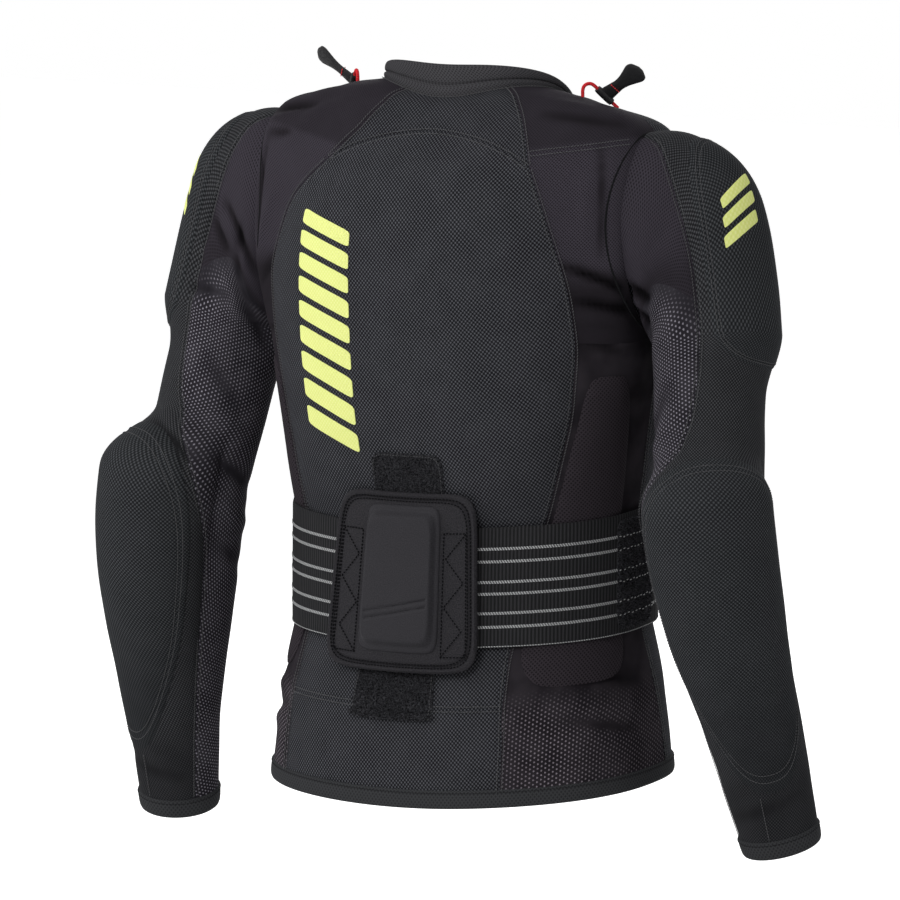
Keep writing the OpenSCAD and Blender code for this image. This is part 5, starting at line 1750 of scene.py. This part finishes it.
@dataclass
class KidneyBelt:
    """Elastic belt: two bands at the back, two flaps at the front, stripes and loop patches."""

    line: BeltLine = BeltLine()
    lift: float = 3.4
    thick: float = 2.0
    patch_t: float = 1.0
    over_gap: float = 0.9
    stripes: tuple[float, ...] = (0.179, 0.285, 0.455, 0.553, 0.715, 0.829)

    def face(self, u: Array, rise: float) -> Array:
        """Height of the elastic's face, with a rise where it laps over the other flap."""
        return self.lift + self.thick + rise * smooth((u - 138.0) / 26.0)

    def wave(self, u: Array, w: Array | float) -> Array:
        """Soft unevenness of the elastic."""
        return 0.3 * ripple(self.line.base(u, w), 45.0, 51)

    def band(self, name: str, node: str, start: float, end: float, mount: Mount, side: Side,
             rise: float = 0.0) -> None:
        """One length of elastic with its silver stripes and its thin edge line.

        Args:
            name: Its name.
            node: CAD node it stands for.
            start: First angle.
            end: Last angle.
            mount: Body that carries it.
            side: Side of the wearer.
            rise: Extra height at the front.
        """
        patch = Patch(self.line, *np.meshgrid(np.linspace(start, end, 131), np.linspace(0.0, 1.0, 41)))
        edge = np.minimum(patch.t, 1 - patch.t) * self.line.height
        off = self.face(patch.a, rise) - 0.5 * bell(edge, 1.2) + self.wave(patch.a, patch.t)
        piece = make_piece(name, patch.solid(off, self.thick), BELT_WEB, [node], mount, side)
        stretched(piece, patch)
        u = np.linspace(start + 0.2, end - 0.2, 160)
        face = self.face(u, rise)
        rows = [ribbon(Path.on(self.line, u, 1 - share, face + self.wave(u, 1 - share)), 2.4, 0.55, 0.3, 2)
                for share in self.stripes]
        rows.append(ribbon(Path.on(self.line, u, 0.008, face - 0.3), 0.9, 0.5, 0.3))
        make_piece(f"{name}_stripes", joined(rows), STRIPE, (), mount, side)

    def loop(self, name: str, node: str, start: float, end: float, low: float, mount: Mount, side: Side,
             seed: int) -> None:
        """Loop patch: a soft pile with broken ends of the stripes in it.

        Args:
            name: Its name.
            node: CAD node it stands for.
            start: First angle.
            end: Last angle.
            low: Share of the height that is left free below and above.
            mount: Body that carries it.
            side: Side of the wearer.
            seed: Number that fixes the pile.
        """
        x, y, rho = disc(33, 9.0)
        patch = Patch(self.line, mix(start, end, (x + 1) / 2), mix(low, 1 - low, (y + 1) / 2))
        off = self.lift + self.thick + 0.3 + self.patch_t * (1 - 0.5 * rho**8)
        solid = joined([patch.solid(off, self.patch_t), tufts(patch, off - 0.1, 4200, 1.3, seed)])
        make_piece(name, solid, HOOK_PILE, [node], mount, side)
        u = np.linspace(start + 0.8, end - 0.8, 40)
        top = self.lift + self.thick + self.patch_t + 0.9
        bits = []
        for k, share in enumerate(self.stripes):
            line = Path.on(self.line, u, 1 - share + 0.006 * np.sin(u * 2.1 + 2.0 * k), top)
            bits.append(stitches(line, 4.6 + 0.5 * (k % 3), 2.2, lean=0.3))
        make_piece(f"{name}_threads", joined(bits), STRIPE, (), mount, side)

    def build(self) -> None:
        """Makes the bands, the flaps and the loop patches."""
        for side in Side:
            self.band("belt_elastic_{}", "belt_band_{}", 14.0, 99.8, JACKET, side)
            self.loop("loop_pile_{}", "loop_patch_{}", 78.0, 97.0, 0.04, JACKET, side, 61)
        over, under = Mount("flap_over"), Mount("flap_under")
        rise = self.thick + self.patch_t + self.over_gap
        self.band("flap_over_elastic", "belt_flap_over", 100.2, 189.0, over, Side.LEFT, rise)
        self.band("flap_under_elastic", "belt_flap_under", 100.2, 189.0, under, Side.RIGHT)
        self.loop("front_loop_pile", "front_loop_patch", 171.0, 188.0, 0.06, under, Side.RIGHT, 63)


@dataclass
class LumbarPlate:
    """Sewn plate on the small of the back with a moulded panel."""

    line: PlateLine = PlateLine()
    width: float = 140.0
    height: float = 150.0
    power: float = 8.0
    rise: float = 4.0
    top_narrow: float = 7.0
    lift: float = 5.8
    backing_lift: float = 12.2
    backing_t: float = 3.0
    pad_lift: float = 15.4
    pad_w: float = 74.0
    pad_h: float = 123.0
    pad_narrow: float = 3.0
    pad_middle: float = 7.0
    pad_rise: float = 7.6
    pad_rim: float = 1.6

    def half_width(self, h: Array, half: float, narrow: float) -> Array:
        """Half width of a form at a height: narrower towards the top."""
        return half - narrow * clamp((h - self.rise) / self.height + 0.5)

    def backing(self) -> None:
        """Sewn backing that stands on the foam, with a rolled edge."""
        x, y, rho = disc(81, self.power)
        h = self.rise + y * self.height / 2
        patch = Patch(self.line, x * self.half_width(h, self.width / 2, self.top_narrow), h / 100.0)
        edge = (1 - rho) * self.width / 2
        roll = 1.3 * bell(edge - 2.0, 1.8) - 1.4 * bell(edge - 5.0, 1.3)
        top = self.backing_lift + self.backing_t
        off = top + roll - 1.2 * rho**30 + patch.uneven(0.25, 60.0, 71)
        thick = mix(self.backing_t, top - self.lift, smooth((0.8 - rho) / 0.05))
        piece = make_piece("plate_backing", patch.solid(off, thick), PLATE_CLOTH,
                           ["lumbar_plate_backing", "lumbar_foam"])

    def pad(self) -> None:
        """Moulded panel: a bevelled rim, a raised middle, and two plain slanted grooves."""
        x, y, rho = disc(121, 10.0)
        h = self.pad_middle + y * self.pad_h / 2
        a = x * self.half_width(h, self.pad_w / 2, self.pad_narrow)
        edge = (1 - rho) * self.pad_w / 2
        rise = self.pad_rim * smooth(edge / 1.2) + (self.pad_rise - self.pad_rim) * smooth((edge - 2.2) / 4.2)
        slant = np.abs(h + 18.0 + 0.22 * a)
        rise = rise - 1.5 * bell(slant - 3.0, 1.1) * smooth((edge - 7.0) / 2.0)
        solid = Patch(self.line, a, h / 100.0).solid(self.pad_lift + 0.3 + rise, rise + 0.6)
        piece = make_piece("plate_moulding", solid, MOULDED, ["lumbar_plate_pad"])

    def row(self, a: Array, h: Array, up: float, length: float) -> Solid:
        """Row of stitches through places on the plate, at a height above the backing."""
        top = self.backing_lift + self.backing_t + 0.1 + up
        return stitches(Path.on(self.line, a, h / 100.0, top), 3.0, length, 1.2)

    def thread(self) -> None:
        """Two rows round the edge, and a box with a zigzag on each side of the moulded panel."""
        x, y = rounded(np.linspace(0.0, 2 * np.pi, 400), self.power)
        rows = []
        for inset, up in ((4.4, -0.3), (7.0, 0.2)):
            h = self.rise + y * (self.height / 2 - inset)
            half = self.half_width(h, self.width / 2, self.top_narrow) - inset
            rows.append(self.row(x * half, h, up, 2.1))
        low, high = -57.0, 46.0
        inner, outer = 40.0, 60.5
        box = [(inner, low), (outer, low), (outer - 4, high), (inner - 2, high), (inner, low)]
        zigzag = [(inner + 0.5 if k % 2 else outer - 4.5, h)
                  for k, h in enumerate(np.linspace(high - 1, low + 1, 6))]
        for sign in (-1.0, 1.0):
            for points in (np.array(box), np.array(zigzag)):
                marks = np.arange(len(points))
                run = np.linspace(0, len(points) - 1.0, 40 * len(points))
                a, h = (np.interp(run, marks, k) for k in points.T)
                rows.append(self.row(sign * a, h, 0.1, 2.0))
        make_piece("plate_stitches", joined(rows), PLATE_THREAD)

    def build(self) -> None:
        """Makes the backing, the moulded panel and the stitching."""
        self.backing()
        self.pad()
        self.thread()


@dataclass
class SleeveDress:
    """Cloth, pads, binding and seams of one sleeve."""

    side: Side
    arm: Sleeve = Sleeve()
    fabric_t: float = 1.5
    split_t: float = 1.4
    seam_end_t: float = 5.79

    @property
    def upper(self) -> Mount:
        """Carrying of the length between the armhole and the upper arm."""
        return Mount("jacket", f"arm_{self.side.tag}", 0.02, 0.98)

    @property
    def lower(self) -> Mount:
        """Carrying of the length between the upper arm and the forearm, across the elbow."""
        return Mount(f"arm_{self.side.tag}", f"forearm_{self.side.tag}", 1.8, 1.6)

    def mesh_top(self, a: Array) -> Array:
        """Row where the plain cloth of the sleeve's head gives way to mesh, higher towards the body."""
        return mix(0.86, 0.45, smooth((a - 60.0) / 55.0))

    def lie(self, a: Array, t: Array) -> tuple[Array, Array]:
        """Height of the cloth over the armour with its unevenness and folds, and the folds alone."""
        points = self.arm.base(a, t)
        folds = folded(self.arm, points, SLEEVE_FOLDS[self.side] + ARM_FOLDS)
        return self.arm.rise(a, t) + 0.45 * ripple(points, 60.0, 81) + folds, folds

    def tone(self, finish: Finish, a: Array, t: Array) -> Array:
        """Pattern strength of a cloth: fading at the wrist, which is painted shade on the forearm, or on both
        sides of the mesh's top edge.
        """
        if finish is MESH_CLOTH:
            return 0.05 + 0.95 * smooth((t - self.mesh_top(a)) / 0.25)
        if finish is SHOULDER_CLOTH:
            return 1 - 0.7 * smooth((t / self.mesh_top(a) - 0.55) / 0.4)
        # Painted shade: the pattern fades near the wrist, darkening the lower forearm.
        return 1 - 0.5 * smooth((t - 4.9) / 0.5)

    def cloth(self, name: str, nodes: Sequence[str], rows: int, fit: Callable[[Array, Array], Array],
              cells: int, finish: Finish, slot: str, mount: Mount) -> None:
        """One length of the sleeve's outer cloth, or of what lies behind it towards the body.

        Args:
            name: Its name.
            nodes: CAD nodes it stands for.
            rows: Number of rows.
            fit: Row on the sleeve at an angle and at a share of the length.
            cells: Cells round the sleeve.
            finish: Its material, which is the sleeve cloth for the outer side.
            slot: Name of a material slot; not used.
            mount: How it is carried.
        """
        down, round_share = np.linspace(0.0, 1.0, rows)[:, None], np.linspace(0.0, 1.0, cells + 1)
        t = down
        for _ in range(3):
            back, front = self.arm.back_seam(t), -self.arm.front_seam(t)
            first, last = (front, back) if finish is SLEEVE_CLOTH else (back, 360.0 + front)
            a = mix(first, last, round_share)
            t = np.broadcast_to(fit(a, down), a.shape)
        patch = Patch(self.arm, a, t)
        height, folds = self.lie(a, t)
        off = height + seam_dip(patch.border(low=False, high=False))
        tone = sunk(self.tone(finish, a, t), folds)
        piece = make_piece(name, patch.solid(off, self.fabric_t, mount.share(t), tone), finish, nodes,
                           mount, self.side)
        stretched(piece, patch)

    def pad(self, name: str, nodes: Sequence[str], middle: tuple[float, float], half: tuple[float, float],
            mount: Mount) -> None:
        """Stitched pad on the sleeve: a crowned closed form with a sewn line inside its edge.

        Args:
            name: Name of the piece, without its side.
            nodes: CAD nodes it stands for.
            middle: Angle and row of its middle.
            half: Half its angle and half its rows.
            mount: How it is carried.
        """
        power, crown = 2.6, 2.0
        x, y, rho = disc(101, power)
        a, t = self.spot(middle, half, x, y)
        rise = crown * np.sqrt(np.maximum(0.0, 1 - rho**10)) - 0.9 * bell(rho - 0.9, 0.02)
        # Painted shade: the pattern fades towards the wrist, so the lower end of the pad is darker.
        tone = 1 - 0.5 * smooth((t - 4.1) / 1.0)
        solid = Patch(self.arm, a, t).solid(self.lie(a, t)[0] + rise, rise + 0.9, mount.share(t), tone)
        piece = make_piece(name + "_{}", solid, PAD_CLOTH, nodes, mount, self.side)
        x, y = rounded(np.linspace(0.0, 2 * np.pi, 400), power)
        lines = []
        for inset in (0.885, 0.93):
            a, t = self.spot(middle, half, inset * x, inset * y)
            line = Path.on(self.arm, a, t, self.lie(a, t)[0] + crown * 0.6, mount.share(t))
            lines.append(stitches(line, 2.5, 2.2, 0.7))
        make_piece(name + "_stitches_{}", joined(lines), THREAD, (), mount, self.side)

    def spot(self, middle: tuple[float, float], half: tuple[float, float], x: Array,
             y: Array) -> tuple[Array, Array]:
        """Angle and row of places on a pad, which narrows towards the wrist."""
        t = middle[1] + half[1] * y
        return middle[0] + half[0] * x * (1 - 0.12 * smooth((t - 4.0) / 1.4)), t

    def seams(self) -> None:
        """Flat seams between the cloth and the mesh, and the single row down the forearm."""
        arm = self.arm
        for name, low, high, mount in (("upper_seams_{}", 0.06, self.split_t, self.upper),
                                      ("lower_seams_{}", self.split_t, self.seam_end_t, self.lower)):
            t = np.linspace(low, high, 260)
            rows = [flatlock(Path.on(arm, a, t, self.lie(a, t)[0] - 0.3, mount.share(t)))
                    for a in (arm.back_seam(t), -arm.front_seam(t))]
            if high == self.seam_end_t:
                t = np.linspace(5.4, high, 40)
                a = eased([(5.2, 72), (5.8, 75)], t, 0.05)
                line = Path.on(arm, a, t, arm.rise(a, t) + 0.3, mount.share(t))
                rows.append(stitches(line, 2.5, 2.1, 0.7))
            make_piece(name, joined(rows), THREAD, (), mount, self.side)

    def print_bars(self) -> None:
        """Three plain slanted bars in lime on the shoulder pad."""
        x, y, rho = disc(31, 9.0)
        bars = []
        for k in range(3):
            t = 0.55 + 0.07 * k + 0.022 * y + 0.03 * x
            a = 14.0 + 2.0 * k + 17.0 * x
            off = self.lie(a, t)[0] + 2.3 - 0.3 * rho**6
            bars.append(Patch(self.arm, a, t).solid(off, 1.0, self.upper.share(t)))
        make_piece("sleeve_print_{}", joined(bars), LIME_PRINT, (), self.upper,
                   self.side)

    def cuff(self) -> None:
        """Rolled binding at the wrist with a row of stitches."""
        arm, mount = self.arm, Mount(f"forearm_{self.side.tag}")
        a = np.degrees(circle(96))
        roll = rolled(arm.base(a, arm.cuff_t), arm.base(a, 6.0), arm.normal(a, 5.9), 2.5, 0.7, 20,
                      np.linspace(0.0, 210.0, 97), False)
        make_piece("cuff_roll_{}", roll, BINDING, ["cuff_binding_{}"], mount, self.side)
        line = Path.on(arm, np.linspace(0.0, 360.0, 200), arm.cuff_t + 0.03, 1.4)
        make_piece("cuff_stitches_{}", stitches(line, 2.5, 2.0, 0.7), DARK_THREAD, (), mount,
                   self.side)

    def build(self) -> None:
        """Makes every piece of the sleeve."""
        upper, lower, split, top = self.upper, self.lower, self.split_t, self.mesh_top
        foot = self.arm.cuff_t + 0.01
        self.cloth("upper_outer_{}", [], 84, lambda a, k: split * k, 44, SLEEVE_CLOTH, "sleeve_fabric", upper)
        self.cloth("upper_plain_{}", ["sleeve_head_{}"], 50, lambda a, k: top(a) * k, 90, SHOULDER_CLOTH,
                   "shoulder_fabric", upper)
        self.cloth("upper_mesh_{}", ["upper_sleeve_{}"], 50, lambda a, k: mix(top(a), split, k), 90,
                   MESH_CLOTH, "mesh_fabric", upper)
        self.cloth("lower_outer_{}", ["forearm_sleeve_{}"], 170, lambda a, k: mix(split, foot, k), 66,
                   SLEEVE_CLOTH, "sleeve_fabric", lower)
        self.cloth("lower_mesh_{}", ["elbow_gusset_{}"], 170, lambda a, k: mix(split, foot, k), 60,
                   MESH_CLOTH, "mesh_fabric", lower)
        self.pad("shoulder_pad", ["shoulder_cover_{}", "shoulder_armour_{}"], (0.0, 0.80), (52.0, 0.57),
                 upper)
        self.pad("elbow_pad", ["elbow_cover_{}", "elbow_armour_{}"], (54.0, 3.9), (71.0, 1.46), lower)
        self.seams()
        self.print_bars()
        self.cuff()


def main() -> None:
    """Builds the scene in order: camera and cords first, then the jacket from its back to its sleeves."""
    logging.basicConfig(level=logging.INFO, format="%(name)s %(message)s")
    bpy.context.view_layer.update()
    Studio().build()
    for side in Side:
        CordLoop(side).cord()
    BackPanels().build()
    for side in Side:
        SidePanels(side).build()
    Neckline().build()
    Hem().build()
    FrontZip().build()
    KidneyBelt().build()
    LumbarPlate().build()
    for side in Side:
        SleeveDress(side).build()


if __name__ == "__main__":
    main()
